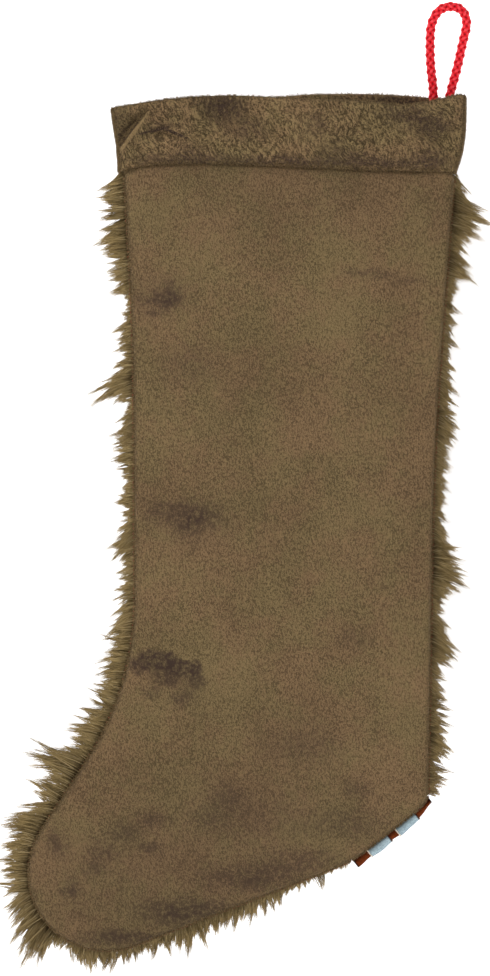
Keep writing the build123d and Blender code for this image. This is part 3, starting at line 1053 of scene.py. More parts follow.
class STOCKING_OT_stage(bpy.types.Operator):
    """Camera, soft lights, pale floor and backdrop"""

    bl_idname = "stocking.stage"
    bl_label = "Stage"

    def execute(self, context):
        settings = context.scene.stocking_stage
        scene = context.scene
        scene.view_settings.view_transform = "Standard"
        middle_x = FRAME_LOW.x * 0.5 + FRAME_HIGH.x * 0.5 + VIEW_SHIFT_X
        middle_z = FRAME_LOW.z * 0.5 + FRAME_HIGH.z * 0.5 + VIEW_SHIFT_Z
        camera = bpy.data.objects.new("camera", bpy.data.cameras.new("camera"))
        camera.data.sensor_width = SENSOR
        camera.data.lens = SENSOR * settings.distance / settings.view_height
        camera.location = (middle_x, SEAM_Y - settings.distance, middle_z)
        camera.rotation_euler = (math.pi / 2, 0, 0)
        camera.data.clip_start, camera.data.clip_end = 0.05, 50
        scene.collection.objects.link(camera)
        scene.camera = camera
        target = Vector((middle_x, 0, middle_z))
        for name, place, size, share in LIGHTS:
            light = bpy.data.objects.new(name, bpy.data.lights.new(name, "AREA"))
            light.data.shape = "DISK"
            light.data.size = size
            light.data.energy = settings.key_power * share
            light.location = target + Vector(place)
            light.rotation_euler = (-Vector(place)).to_track_quat("-Z", "Y").to_euler()
            scene.collection.objects.link(light)
        self.world(scene)
        reach, wide, high = FLOOR_REACH, BACKDROP_REACH, BACKDROP_HEIGHT
        floor = ((-reach, -reach, 0), (reach, -reach, 0), (reach, reach, 0), (-reach, reach, 0))
        wall = ((-wide, 0, 0), (wide, 0, 0), (wide, 0, high), (-wide, 0, high))
        for name, corners, y in (("floor", floor, 0), ("backdrop", wall, BACKDROP_Y)):
            panel = new_piece(name, np.array(corners) + (middle_x, y, FLOOR_Z), [(0, 1, 2, 3)],
                              self.paper(name, name == "floor"), smooth=False)
            panel.visible_shadow = name == "floor"
        return {"FINISHED"}

    def world(self, scene):
        """White all round to look at, softer as a light."""
        world = bpy.data.worlds.new("studio")
        world.use_nodes = True
        nodes = Tree(world.node_tree)
        back = world.node_tree.nodes["Background"]
        back.inputs[0].default_value = (1, 1, 1, 1)
        seen = nodes.add("ShaderNodeLightPath").outputs["Is Camera Ray"]
        nodes.tree.links.new(nodes.ramp(seen, 0, 1, WORLD_LIGHT, 1.0), back.inputs[1])
        scene.world = world

    def paper(self, name, seen_from_behind):
        """Plain pale paper, clear from behind where it would hide the stocking."""
        material, nodes, shader = new_material(name, roughness=0.95, specular=0.0)
        shader.inputs["Base Color"].default_value = (0.93, 0.93, 0.94, 1)
        shader.inputs["Emission Color"].default_value = (1, 1, 1, 1)
        shader.inputs["Emission Strength"].default_value = PAPER_GLOW
        if not seen_from_behind:
            mix = nodes.add(
                "ShaderNodeMixShader", None,
                i0=nodes.add("ShaderNodeNewGeometry").outputs["Backfacing"],
                i1=shader.outputs[0],
                i2=nodes.add("ShaderNodeBsdfTransparent").outputs[0],
            )
            output = nodes.tree.nodes["Material Output"]
            nodes.tree.links.new(mix.outputs[0], output.inputs["Surface"])
        return material


# ---------------------------------------------------------------- loop


def spline_points(name, route):
    """Points read from one smooth curve whose control points are the route."""
    curve = bpy.data.curves.new(name, "CURVE")
    curve.dimensions = "3D"
    spline = curve.splines.new("NURBS")
    spline.points.add(len(route) - 1)
    for point, place in zip(spline.points, route):
        point.co = (*place, 1)
    spline.order_u = 3
    spline.use_endpoint_u = True
    curve.resolution_u = 24
    guide = bpy.data.objects.new(name, curve)
    bpy.context.scene.collection.objects.link(guide)
    mesh = bpy.data.meshes.new_from_object(guide)
    points = np.array([tuple(v.co) for v in mesh.vertices])
    bpy.data.objects.remove(guide)
    bpy.data.curves.remove(curve)
    bpy.data.meshes.remove(mesh)
    return points


# parts of the cord, as shares of its diameter
WIND_SHARE = 0.310  # radius at which the strands wind
LIFT_SHARE = 0.075  # how far they pass over and under
STRAND_SHARES = (0.170, 0.140)  # half width and half thickness of a strand
CORE_SHARE = 0.26  # radius of the core inside them

STRAND_SIDES = 10
CORD_STEP = 0.0004
END_FADE = 0.0008  # length over which the strands close at the cord's ends
WHIP_TURNS, WHIP_WIDTH, WHIP_RADIUS = 9, 0.0050, 0.00030


class STOCKING_OT_loop(bpy.types.Operator):
    """The plaited cord: loop and sewn ends in one, and the whipping on each end"""

    bl_idname = "stocking.loop"
    bl_label = "Cord loop"

    def execute(self, context):
        settings = context.scene.stocking_cord
        line = evenly(spline_points("cord_guide", CORD_ROUTE), CORD_STEP)
        length = float(np.linalg.norm(np.diff(line, axis=0), axis=1).sum())
        run = unit(np.gradient(line, axis=0))
        front = np.array((0.0, 1.0, 0.0)) - run * run[:, 1:2]
        front = unit(front)
        side = np.cross(run, front)
        along = np.linspace(0, length, len(line))
        middle = settings.diameter * WIND_SHARE
        lift = settings.diameter * LIFT_SHARE
        half_wide, half_thick = (settings.diameter * share for share in STRAND_SHARES)
        sides = STRAND_SIDES
        angles = circle(sides)
        points, faces, winds, alongs, depths = [], [], [], [], []
        for way in (1, -1):
            for strand in range(settings.strands):
                turn = way * 2 * math.pi * along / settings.lay
                turn = turn + 2 * math.pi * strand / settings.strands
                radius = middle + way * lift * np.cos(settings.strands * turn)
                out = np.cos(turn)[:, None] * front + np.sin(turn)[:, None] * side
                centre = line + out * radius[:, None]
                wide = unit(np.cross(unit(np.gradient(centre, axis=0)), out))
                fade = np.clip(np.minimum(along, length - along) / END_FADE, 0.15, 1)[:, None, None]
                ring = (
                    centre[:, None]
                    + wide[:, None] * (np.cos(angles) * half_wide)[None, :, None] * fade
                    + out[:, None] * (np.sin(angles) * half_thick)[None, :, None] * fade
                )
                start = len(points) * len(line) * sides
                for k in range(len(line) - 1):
                    for j in range(sides):
                        a, b = k * sides + j, k * sides + (j + 1) % sides
                        faces.append((start + a, start + b, start + b + sides, start + a + sides))
                faces.append(tuple(start + j for j in range(sides))[::-1])
                last = start + (len(line) - 1) * sides
                faces.append(tuple(last + j for j in range(sides)))
                points.append(ring.reshape(-1, 3))
                winds.append(np.tile(angles, len(line)))
                alongs.append(np.repeat(along, sides))
                depth = (radius[:, None] - middle) / lift * 0.5 + 0.5 + np.sin(angles)[None]
                depths.append(depth.ravel())
        core_points, core_faces = tube(line, settings.diameter * CORE_SHARE, sides, (0, 1, 0))
        start = len(points) * len(line) * sides
        points.append(core_points)
        faces += [tuple(v + start for v in face) for face in core_faces]
        for values in (winds, alongs, depths):
            values.append(np.zeros(len(core_points)))
        material = made_once(cord_material, "cord_yarn", settings)
        cord = new_piece("cord_loop", np.vstack(points), faces, material)
        set_value(cord, "around", np.concatenate(winds))
        set_value(cord, "along", np.concatenate(alongs))
        set_value(cord, "depth", np.concatenate(depths))
        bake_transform(cord)
        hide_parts("hanging_loop", "loop_tails")
        whipping = self.whipping(line)
        return {"FINISHED"}

    def whipping(self, line):
        """Thread wound round each end of the cord."""
        parts = []
        for end in (line, line[::-1]):
            run = unit(end[12] - end[0])
            front = unit(np.array((0, 1, 0)) - run * run[1])
            side = np.cross(run, front)
            share = np.linspace(0, 1, WHIP_TURNS * 16)
            angle = 2 * math.pi * WHIP_TURNS * share
            arm = bpy.context.scene.stocking_cord.diameter / 2 + WHIP_RADIUS * 0.6
            coil = (
                end[0] + run * (WHIP_WIDTH * share + 0.0002)[:, None]
                + arm * (np.cos(angle)[:, None] * front + np.sin(angle)[:, None] * side)
            )
            parts.append(tube(coil, WHIP_RADIUS, 6, run))
        points, faces = joined(parts)
        material = made_once(thread_material, "whipping_thread", (0.50, 0.01, 0.015))
        piece = new_piece("cord_whipping", points, faces, material)
        return put(piece, "stocking", "cord_thread", "loop_whipping")


# ---------------------------------------------------------------- leg and foot


def puffed(points, faces, held):
    """The leg's two halves as one cloth, blown up a little and drawn to its seams by simulation."""
    mesh = bpy.data.meshes.new("pillow")
    mesh.from_pydata(points.tolist(), [], faces)
    pillow = bpy.data.objects.new("pillow", mesh)
    scene = bpy.context.scene
    scene.collection.objects.link(pillow)
    group = pillow.vertex_groups.new(name="held")
    group.add([int(i) for i in np.flatnonzero(held)], 1.0, "REPLACE")
    cloth = pillow.modifiers.new("cloth", "CLOTH")
    cloth.settings.quality = 6
    cloth.settings.mass = 0.25
    cloth.settings.tension_stiffness = 18
    cloth.settings.compression_stiffness = 18
    cloth.settings.bending_stiffness = 1.2
    cloth.settings.vertex_group_mass = "held"
    cloth.settings.pin_stiffness = 1.0
    cloth.settings.shrink_min = -0.012
    cloth.settings.use_pressure = True
    cloth.settings.uniform_pressure_force = 4.0
    cloth.settings.effector_weights.gravity = 0
    cloth.collision_settings.use_self_collision = False
    cloth.collision_settings.use_collision = False
    cloth.point_cache.frame_start, cloth.point_cache.frame_end = 1, 20
    for step in range(1, 21):
        scene.frame_set(step)
    evaluated = pillow.evaluated_get(bpy.context.evaluated_depsgraph_get())
    moved = np.array([tuple(v.co) for v in evaluated.data.vertices])
    scene.frame_set(1)
    bpy.data.objects.remove(pillow)
    bpy.data.meshes.remove(mesh)
    return moved


MOST_PUFF = 0.0024  # how far the simulation may move a point
PUFF_SHARES = (0.3, 1.0, 0.3)  # of the simulation's move that are kept along X, Y and Z
LEG_NET = 0.0040  # spacing of the leg's net
LEG_GAP = 0.00015  # between the panels' inner sides and the seam plane
THIN_SEAM = 0.35  # thickness of the cloth at the seam, as a share of the rest


class STOCKING_OT_leg(bpy.types.Operator):
    """Back panel of plush and front panel of knitted ground, from one sewn and puffed cloth"""

    bl_idname = "stocking.leg"
    bl_label = "Leg and foot"

    def execute(self, context):
        flat, faces, seam, hem_gap, on_seam, count = half_leg(0, LEG_NET)
        rise = leg_depth(flat, seam, hem_gap, PANEL_DEPTH - 0.0008)
        rise[on_seam] = 0
        back = np.stack([flat[:, 0], SEAM_Y - rise, flat[:, 1]], 1)
        front = np.stack([flat[:, 0], SEAM_Y + rise, flat[:, 1]], 1)
        total = len(flat)
        own = np.arange(total) + total
        own[on_seam] = np.flatnonzero(on_seam)
        both = np.vstack([back, front])
        front_faces = [tuple(int(own[v]) for v in reversed(face)) for face in faces]
        held = np.zeros(2 * total, bool)
        held[:count] = True
        held[total:total + count] = True
        moved = puffed(both, [tuple(f) for f in faces] + front_faces, held)
        step = (moved - both) * PUFF_SHARES
        both = both + step * min(1, MOST_PUFF / float(np.linalg.norm(step, axis=1).max()))
        settings = context.scene.stocking_plush
        plush = made_once(plush_material, "back_plush", settings, BACK_BRUSHED, LEG_LOOK)
        ground = made_once(cloth_material, "fur_ground", (0.050, 0.030, 0.014), 1500)
        for side, name, node, slot, material in (
            (BACK, "back_panel_plush", "back_panel", "plush", plush),
            (FRONT, "front_panel_ground", "front_panel", "fur_backing", ground),
        ):
            if side == BACK:
                outer, own_faces = both[:total], [tuple(f) for f in faces]
            else:
                outer = both[own]
                own_faces = [tuple(reversed(f)) for f in faces]
            near = np.clip(seam / 0.004, 0, 1)
            thickness = settings.thickness * (THIN_SEAM + (1 - THIN_SEAM) * near)
            piece = shell(name, kept_to_side(outer, side, 0), own_faces, thickness, side,
                          LEG_GAP, material)
            smoothed(piece)
            put(piece, "stocking", slot, node)
        return {"FINISHED"}


LINING_RISE = 0.0080  # how far the lining's top edge goes up inside the cuff
LINING_INSET = 0.0036  # how far inside the seam it lies
LINING_NET = 0.0065
LINING_THICKNESS = 0.0006
LINING_GAP = 0.0001


class STOCKING_OT_linings(bpy.types.Operator):
    """The two halves of the lining inside the leg"""

    bl_idname = "stocking.linings"
    bl_label = "Lining"

    def execute(self, context):
        material = made_once(cloth_material, "lining_weave", (0.060, 0.038, 0.022), 3200)
        flat, faces, seam, hem_gap, *_ = half_leg(LINING_INSET, LINING_NET)
        for side, name in ((BACK, "lining_back"), (FRONT, "lining_front")):
            rise = filled(np.maximum(seam - LINING_INSET, 0), PANEL_DEPTH - 0.0052)
            rise += 0.0003 * waves(flat[:, 0], flat[:, 1], 0.04, 11 + side)
            rise = np.maximum(rise, 0.0004)
            below = np.maximum(hem_gap - LINING_INSET, 0)
            height = flat[:, 1] + LINING_RISE * np.exp(-below / 0.004)
            outer = np.stack([flat[:, 0], SEAM_Y + side * rise, height], 1)
            own_faces = [tuple(f) if side == BACK else tuple(reversed(f)) for f in faces]
            piece = shell(name + "_cloth", outer, own_faces,
                          np.full(len(outer), LINING_THICKNESS), side, LINING_GAP, material)
            put(piece, "stocking", "lining", name)
        return {"FINISHED"}


# ---------------------------------------------------------------- cuff

CUFF_ROUND = 0.0022  # half height of the rolled rim
CUFF_FACING = 0.70  # depth of the facing as a share of the outer layer's
CUFF_STEEP = 0.0112  # depth that it reaches close to its ends
CUFF_EDGE = 0.0005
CUFF_CROWN = 0.025  # length over which it reaches the rest
CUFF_LOW_REACH = 0.0024  # height over which the tuck fades
CUFF_LEAST, CUFF_PLY = 0.0008, 0.0005  # least depth of the outer layer and of the two together
CUFF_WIDTH, CUFF_HEIGHT = 0.196, 0.045  # of the band, folded along its rim
CUFF_DENTS = (  # x, z, half width, half height, depth
    (-0.128, -0.058, 0.014, 0.009, 0.0018),
    (-0.012, -0.068, 0.012, 0.010, 0.0022),
    (-0.066, -0.070, 0.008, 0.012, 0.0010),
    (-0.036, -0.075, 0.012, 0.008, 0.0008),
)
CUFF_TUCK = 0.0042  # how far the bottom edge turns in to the hem


def cuff_depth(gap):
    """Depth of the cuff's outer layer at a distance from its end."""
    steep = CUFF_STEEP * (1 - np.exp(-gap / CUFF_EDGE))
    return steep + (CUFF_DEPTH - CUFF_STEEP) * (1 - np.exp(-gap / CUFF_CROWN))


def cuff_creases(x, z):
    """How far the back of the cuff's outer layer stands proud or sinks."""
    # a slanting fold at the instep end: the lower cloth lies over the upper
    fold = (x + 0.1893) * 0.805 - (z + 0.0798) * 0.593 + 0.0008 * np.sin((z + 0.08) * 160)
    fades = np.clip((-0.0530 - z) / 0.0120, 0, 1)
    sunk = np.where(fold < 0, np.exp(fold / 0.0080), np.exp(-fold / 0.0005)) * 0.0050
    proud = np.where(fold >= 0, np.exp(-fold / 0.0060), np.exp(fold / 0.0003)) * 0.0020
    rise = (proud - sunk) * fades
    # a short curved wrinkle beside it
    arc = z + 0.0695 + 11.0 * (x + 0.1650) ** 2
    along = np.exp(-(((x + 0.164) / 0.011) ** 2))
    rise -= 0.0014 * np.exp(-((arc / 0.0015) ** 2)) * along
    rise += 0.0008 * np.exp(-(((arc + 0.0035) / 0.003) ** 2)) * along
    for place_x, place_z, wide, high, deep in CUFF_DENTS:
        rise -= deep * np.exp(-(((x - place_x) / wide) ** 2) - (((z - place_z) / high) ** 2))
    return rise


class STOCKING_OT_cuff(bpy.types.Operator):
    """The two halves of the folded plush cuff"""

    bl_idname = "stocking.cuff"
    bl_label = "Cuff"

    def execute(self, context):
        settings = context.scene.stocking_plush
        # each half's marks: brushed places and painted shade, and on the back half the painted shade
        # and highlight of its folds
        for side, name, node, rim, marks in (
            (BACK, "cuff_back_band", "cuff_back", NEAR_RIM, CUFF_BRUSHED_AND_SHADE + CUFF_FOLD_SHADE_AND_HIGHLIGHT),
            (FRONT, "cuff_front_band", "cuff_front", FAR_RIM, CUFF_BRUSHED_AND_SHADE[8:] + FAR_BRUSHED),
        ):
            material = made_once(plush_material, name, settings, marks, CUFF_LOOK)
            near_end = np.array((0, 0.0003, 0.0007, 0.0013, 0.0022, 0.0034, 0.0050, 0.0070))
            middle = np.concatenate([np.arange(0.0080, 0.0340, 0.0009),
                                     np.arange(0.0350, 0.1880, 0.0020)])
            share = np.concatenate([near_end, middle, CUFF_WIDTH - near_end[::-1]]) / CUFF_WIDTH
            share = share[:, None]
            tall = np.linspace(0, 1, 31) ** 0.85
            roll = np.linspace(0, math.pi, 9)
            rows = [("out", t) for t in tall[:-1]] + [("roll", a) for a in roll]
            rows += [("in", t) for t in np.linspace(1, 0, 12)[1:]]
            x_mid = CUFF_LEFT[1][1] + share[:, 0] * (CUFF_RIGHT[1][1] - CUFF_LEFT[1][1])
            bottom = hem_at(x_mid) - 0.0006
            top = soft_line(rim, x_mid)
            points = np.zeros((len(rows), len(share), 3))
            for n, (kind, value) in enumerate(rows):
                if kind == "roll":
                    z = top - CUFF_ROUND * (1 - math.sin(value))
                else:
                    z = bottom + value * (top - CUFF_ROUND - bottom)
                left, right = soft_line(CUFF_LEFT, z), soft_line(CUFF_RIGHT, z)
                x = left + share[:, 0] * (right - left)
                gap = np.minimum(x - left, right - x)
                depth = cuff_depth(gap)
                slack = np.clip(gap / 0.010, 0, 1)
                low = np.maximum(z - bottom, 0)
                outer = depth - slack * CUFF_TUCK * np.exp(-low / CUFF_LOW_REACH)
                outer += slack * 0.0007 * waves(x, z * 1.6, 0.045, 21 + side)
                outer += slack * 0.0004 * waves(x, z * 0.5, 0.017, 31 + side) * np.exp(-low / 0.010)
                if side == BACK:
                    outer += np.clip(gap / 0.003, 0, 1) * cuff_creases(x, z)
                outer = np.maximum(outer, CUFF_LEAST)
                inner = np.clip(depth * CUFF_FACING, 0.0002, outer - CUFF_PLY)
                if kind == "out":
                    level = outer
                elif kind == "in":
                    level = inner
                else:
                    level = (outer + inner) / 2 + (outer - inner) / 2 * math.cos(value)
                points[n] = np.stack([x, SEAM_Y + side * level, z], 1)
            across, count = len(share), len(rows)
            faces = []
            for n in range(count):
                m = (n + 1) % count
                for k in range(across - 1):
                    face = (n * across + k, n * across + k + 1, m * across + k + 1, m * across + k)
                    faces.append(face if side == BACK else face[::-1])
            for k in (0, across - 1):
                end = tuple(n * across + k for n in range(count))
                faces.append(end if (k > 0) == (side == BACK) else end[::-1])
            piece = new_piece(name, points.reshape(-1, 3), faces, material)
            smoothed(piece)
            put(piece, "stocking", "plush", node)
        return {"FINISHED"}


# ---------------------------------------------------------------- heel patch


PATCH_START = 0.0010  # from the end of the sole
PATCH_THICK = 0.0036
PATCH_RIM = 0.012  # length of the rounded part that wraps the seam
PATCH_TAPER = 0.016  # length over which it draws in towards the heel
PATCH_DRAWN = 0.62  # share of its stand-out that it loses there
BAND_RISE = 0.0007  # how far the bands lie above the felt
STITCH_RISE = 0.0009
STITCH_PITCH, STITCH_LENGTH = 0.048, 0.034  # as shares of the patch's length
STITCH_RADIUS, PIPING_RADIUS = 0.00034, 0.00038
STITCH_FACING = (0.6, 0.1, -0.8)


def patch_frame():
    """Middle of the slanted heel edge, the direction along it and the direction into the foot."""
    sole, heel = np.array(SOLE_END), np.array(HEEL_TIP)
    along = unit(heel - sole)
    into = np.array((-along[1], along[0]))
    middle = sole + along * (sum(PATCH_BLOCKS) / 2 + PATCH_START)
    return middle, along, into


def patch_point(u, level, rise, settings):
    """A point on the patch's outer face, and the one under it: u along the edge, level 0 to 1."""
    middle, along, into = patch_frame()
    half = sum(PATCH_BLOCKS) / 2
    path = level * (settings.length + PATCH_RIM + settings.proud)
    round_part = np.clip(path / (PATCH_RIM + settings.proud), 0, 1)
    angle = round_part * math.pi / 2
    flat_part = np.maximum(path - PATCH_RIM - settings.proud, 0)
    near_heel = np.clip((u - half + PATCH_TAPER) / PATCH_TAPER, 0, 1)
    proud = settings.proud * (1 - PATCH_DRAWN * near_heel) + 0.0003 * np.sin(u * 420)
    v = -proud - rise + (proud + 0.0060) * (1 - np.cos(angle)) + flat_part
    widest = settings.length - half
    waist = np.sqrt(np.maximum(half**2 - np.maximum(v - widest, 0) ** 2, 1e-8))
    u = np.clip(u, -waist, waist)
    place = middle + np.outer(u, along) + np.outer(v, into)
    line = leg_line(0.004)
    seam = distance_to(line, place) * np.where(v > 0, 1, 0)
    ground = filled(seam, PANEL_DEPTH + 0.0006)
    end = np.clip((settings.length - v) / 0.004, 0, 1) ** 0.5
    side_end = np.clip((waist - np.abs(u)) / 0.0025, 0, 1) ** 0.5
    thick = (PATCH_THICK + rise) * end * (0.45 + 0.55 * side_end)
    depth = np.where(round_part < 1, np.maximum(ground + thick, 0) * np.sin(angle) ** 0.8,
                     ground + thick)
    return place, depth, ground


class STOCKING_OT_heel_patch(bpy.types.Operator):
    """The felt patch that wraps the heel, its two bands and the stitching along them"""

    bl_idname = "stocking.heel_patch"
    bl_label = "Heel patch"

    def execute(self, context):
        settings = context.scene.stocking_patch
        edges = np.cumsum((0,) + PATCH_BLOCKS) - sum(PATCH_BLOCKS) / 2
        # the third colour of each is the painted shade of its dark columns: the felt's two ends, one
        # edge of each band
        felt = made_once(felt_material, "heel_felt", settings.felt, (0.27, 0.09, 0.04),
                         (0.03, 0.010, 0.006))
        band = made_once(felt_material, "heel_band", settings.band, (0.42, 0.50, 0.54),
                         (0.05, 0.020, 0.012))
        thread = made_once(thread_material, "pale_stitching", (0.72, 0.62, 0.50))
        patch = self.piece("heel_patch_felt", [(edges[0], edges[-1])], 0.0, felt, (0, -1), settings)
        put(patch, "stocking", "patch_felt", "heel_patch")
        spans = [(edges[n], edges[n + 1]) for n in (1, 3)]  # the second and fourth blocks
        bands = self.piece("heel_patch_bands", spans, BAND_RISE, band, (-1,), settings)
        put(bands, "stocking", "patch_band", "heel_patch_stripes")
        stitches = []
        for n in (1, 2, 3, 4):
            for start in np.arange(0.004, 0.93, STITCH_PITCH):
                level = np.linspace(start, start + STITCH_LENGTH, 6)
                place, depth, _ = patch_point(np.full(6, edges[n]), level, STITCH_RISE, settings)
                line = np.stack([place[:, 0], SEAM_Y + depth, place[:, 1]], 1)
                stitches.append(tube(line, STITCH_RADIUS, 6, STITCH_FACING))
        middle, _, into = patch_frame()
        for n in (1, 3):
            # the piping along the lower edge of a band's back
            place, _, _ = patch_point(np.full(1, edges[n]), np.zeros(1), STITCH_RISE, settings)
            reach = float((place[0] - middle) @ into)
            share = np.linspace(0, 1, 6)
            flat = place[0] - np.outer(share * reach, into)
            bow = -0.0016 * np.minimum(share * 6, 1) - 0.0004 * np.sin(share * math.pi)
            line = np.stack([flat[:, 0], SEAM_Y + bow, flat[:, 1]], 1)
            stitches.append(tube(line, PIPING_RADIUS, 6, STITCH_FACING))
        put(new_piece("heel_patch_stitches", *joined(stitches), thread), "stocking",
            "pale_thread", "heel_patch_thread")
        return {"FINISHED"}

    def piece(self, name, spans, rise, material, dark, settings):
        """Closed strips of the patch as one piece; the dark columns are painted shade along their
        edges.
        """
        parts, marks = [], []
        for low, high in spans:
            points, faces, across = self.strip(low, high, rise, settings)
            # the dark columns carry painted shade
            column = np.zeros(across)
            column[list(dark)] = 1.0
            parts.append((points, faces))
            marks.append(np.tile(column, len(points) // across))
        piece = new_piece(name, *joined(parts), material)
        set_value(piece, "cut", np.concatenate(marks))
        return piece

    def strip(self, low, high, rise, settings):
        """A closed strip of the patch between two distances along its edge."""
        columns = max(6, round((high - low) / 0.0016))
        u = np.linspace(low, high, columns + 1)
        levels = np.concatenate([np.linspace(0, 0.30, 22), np.linspace(0.31, 0.995, 26)])
        outer, inner = [], []
        for level in levels:
            place, depth, ground = patch_point(u, np.full(len(u), level), rise, settings)
            tuck = np.minimum(np.minimum(u - low, high - u) / 0.0012, 1) ** 0.5
            depth = depth - (1 - tuck) * 0.0006
            depth = np.maximum(depth, 0.0)
            outer.append(np.stack([place[:, 0], SEAM_Y + depth, place[:, 1]], 1))
            under = np.minimum(ground + 0.0002, depth * 0.9)
            inner.append(np.stack([place[:, 0], SEAM_Y + under, place[:, 1]], 1))
        rows, across = len(levels), len(u)
        # the strip's back at the seam plane closes it towards the plush
        middle, along, into = patch_frame()
        back = [np.array(outer[0])]
        for share in (0.5, 1.0):
            reach = (outer[0][:, [0, 2]] - middle) @ into
            flat = outer[0][:, [0, 2]] - np.outer(reach, into) * share
            puff = -0.0009 * math.sin(math.pi * share) - rise
            back.append(np.stack([flat[:, 0], np.full(across, SEAM_Y + puff), flat[:, 1]], 1))
        ring = outer + inner[::-1][:-6] + back[:0:-1]
        points = np.vstack(ring)
        count = len(ring)
        faces = []
        for n in range(count):
            m = (n + 1) % count
            for k in range(across - 1):
                faces.append((n * across + k, m * across + k, m * across + k + 1,
                              n * across + k + 1))
        faces.append(tuple(n * across for n in range(count)))
        faces.append(tuple(n * across + across - 1 for n in range(count))[::-1])
        return points, faces, across


# ---------------------------------------------------------------- fur

# places where the fur at the seam is longer or shorter, (x, z, extra length, reach along the seam)
TUFTS = (
    (-0.183, -0.100, 0.004, 0.012),
    (-0.181, -0.124, 0.007, 0.014),
    (-0.180, -0.148, 0.003, 0.008),
    (-0.180, -0.165, -0.005, 0.007),
    (-0.180, -0.208, 0.014, 0.0055),
    (-0.180, -0.221, -0.004, 0.005),
    (-0.180, -0.235, 0.003, 0.006),
    (-0.180, -0.283, -0.001, 0.006),
    (-0.180, -0.297, 0.005, 0.006),
    (-0.180, -0.325, 0.001, 0.010),
    (-0.180, -0.345, 0.006, 0.010),
    (-0.181, -0.370, 0.007, 0.010),
    (-0.190, -0.396, 0.004, 0.014),
    (-0.201, -0.410, 0.005, 0.008),
    (-0.208, -0.430, 0.017, 0.006),
    (-0.199, -0.4185, -0.004, 0.005),
    (-0.221, -0.446, 0.001, 0.004),
    (-0.230, -0.458, 0.006, 0.007),
    (-0.237, -0.469, 0.001, 0.008),
    (-0.235, -0.500, 0.005, 0.007),
    (-0.228, -0.5125, 0.013, 0.007),
    (-0.219, -0.524, -0.009, 0.007),
    (-0.205, -0.540, -0.005, 0.020),
    (-0.172, -0.534, -0.005, 0.015),
    (-0.120, -0.505, 0.002, 0.012),
    (-0.078, -0.490, -0.003, 0.012),
    (0.001, -0.096, -0.001, 0.005),
    (0.001, -0.109, 0.012, 0.009),
    (-0.002, -0.120, 0.007, 0.006),
    (-0.003, -0.141, 0.007, 0.008),
    (-0.005, -0.162, -0.001, 0.012),
    (-0.008, -0.209, 0.003, 0.008),
    (-0.010, -0.231, 0.007, 0.008),
    (-0.011, -0.268, 0.001, 0.010),
    (-0.011, -0.300, 0.005, 0.009),
    (-0.012, -0.315, 0.010, 0.010),
    (-0.012, -0.354, 0.009, 0.009),
    (-0.013, -0.385, 0.000, 0.008),
    (-0.013, -0.410, 0.006, 0.006),
    (-0.013, -0.440, -0.001, 0.008),
)


FUR_LIMIT_Y = 0.0300  # how far towards the front the tips may reach
FIBRES_IN_PIECE = 7200
FIBRE_TAPER = (0.8, 1.0, 0.9, 0.7, 0.1)  # thickness from root to tip

# rows of locks along the seam: distance in front of it, spacing, length, half width, and the
# least and the most of the length
RIM_ROWS = (
    (0.0006, 0.0026, 0.0062, 0.0036, 0.85, 1.15),
    (0.0012, 0.0032, 0.0088, 0.0038, 0.75, 1.15),
    (0.0014, 0.0058, 0.0122, 0.0036, 0.55, 1.25),
    (0.0045, 0.0062, 0.0122, 0.0038, 0.55, 1.25),
    (0.0082, 0.0064, 0.0108, 0.0038, 0.55, 1.25),
)
FILL_ROWS = 2  # the first rows, which are short and dense
TUFT_GAIN = 1.3


def bezier(first, second, third, shares):
    """Points along many bent lines, each from its root by its knee to its tip."""
    t = shares[None, :, None]
    return (
        first[:, None] * (1 - t) ** 2 + second[:, None] * 2 * t * (1 - t) + third[:, None] * t * t
    )


def lock_lines(random, locks, per_lock):
    """Fibres of many locks, each drawn to a point: its outer fibres are shorter than its middle."""
    centres, normals, combs = locks[:, 0:3], locks[:, 3:6], locks[:, 6:9]
    lengths, spread, flatness = locks[:, 9], locks[:, 10], locks[:, 11]
    across = unit(np.cross(normals, combs))
    along = np.cross(across, normals)
    tips = centres + normals * (lengths * 0.42)[:, None] + combs * (lengths * 0.86)[:, None]
    owner = np.repeat(np.arange(len(locks)), per_lock)
    angle = random.uniform(0, 2 * math.pi, len(owner))
    share = np.sqrt(random.uniform(0, 1, len(owner)))
    disk = spread[owner] * share
    offset = (
        across[owner] * (np.cos(angle) * disk * flatness[owner])[:, None]
        + along[owner] * (np.sin(angle) * disk)[:, None]
    )
    root = centres[owner] + offset - normals[owner] * 0.0006
    reach = random.uniform(0.78, 1.0, len(owner)) * (1 - 0.42 * share**1.5)
    gather = random.uniform(-0.06, 0.22, len(owner))
    tip = tips[owner] + offset * gather[:, None] + random.normal(0, 0.0006, (len(owner), 3))
    tip = root + (tip - root) * reach[:, None]
    knee = (
        root + normals[owner] * (lengths[owner] * reach * 0.42)[:, None]
        + combs[owner] * (lengths[owner] * reach * 0.20)[:, None] - offset * 0.10
    )
    lines = bezier(root, knee, tip, np.linspace(0, 1, len(FIBRE_TAPER)))
    return lines, owner


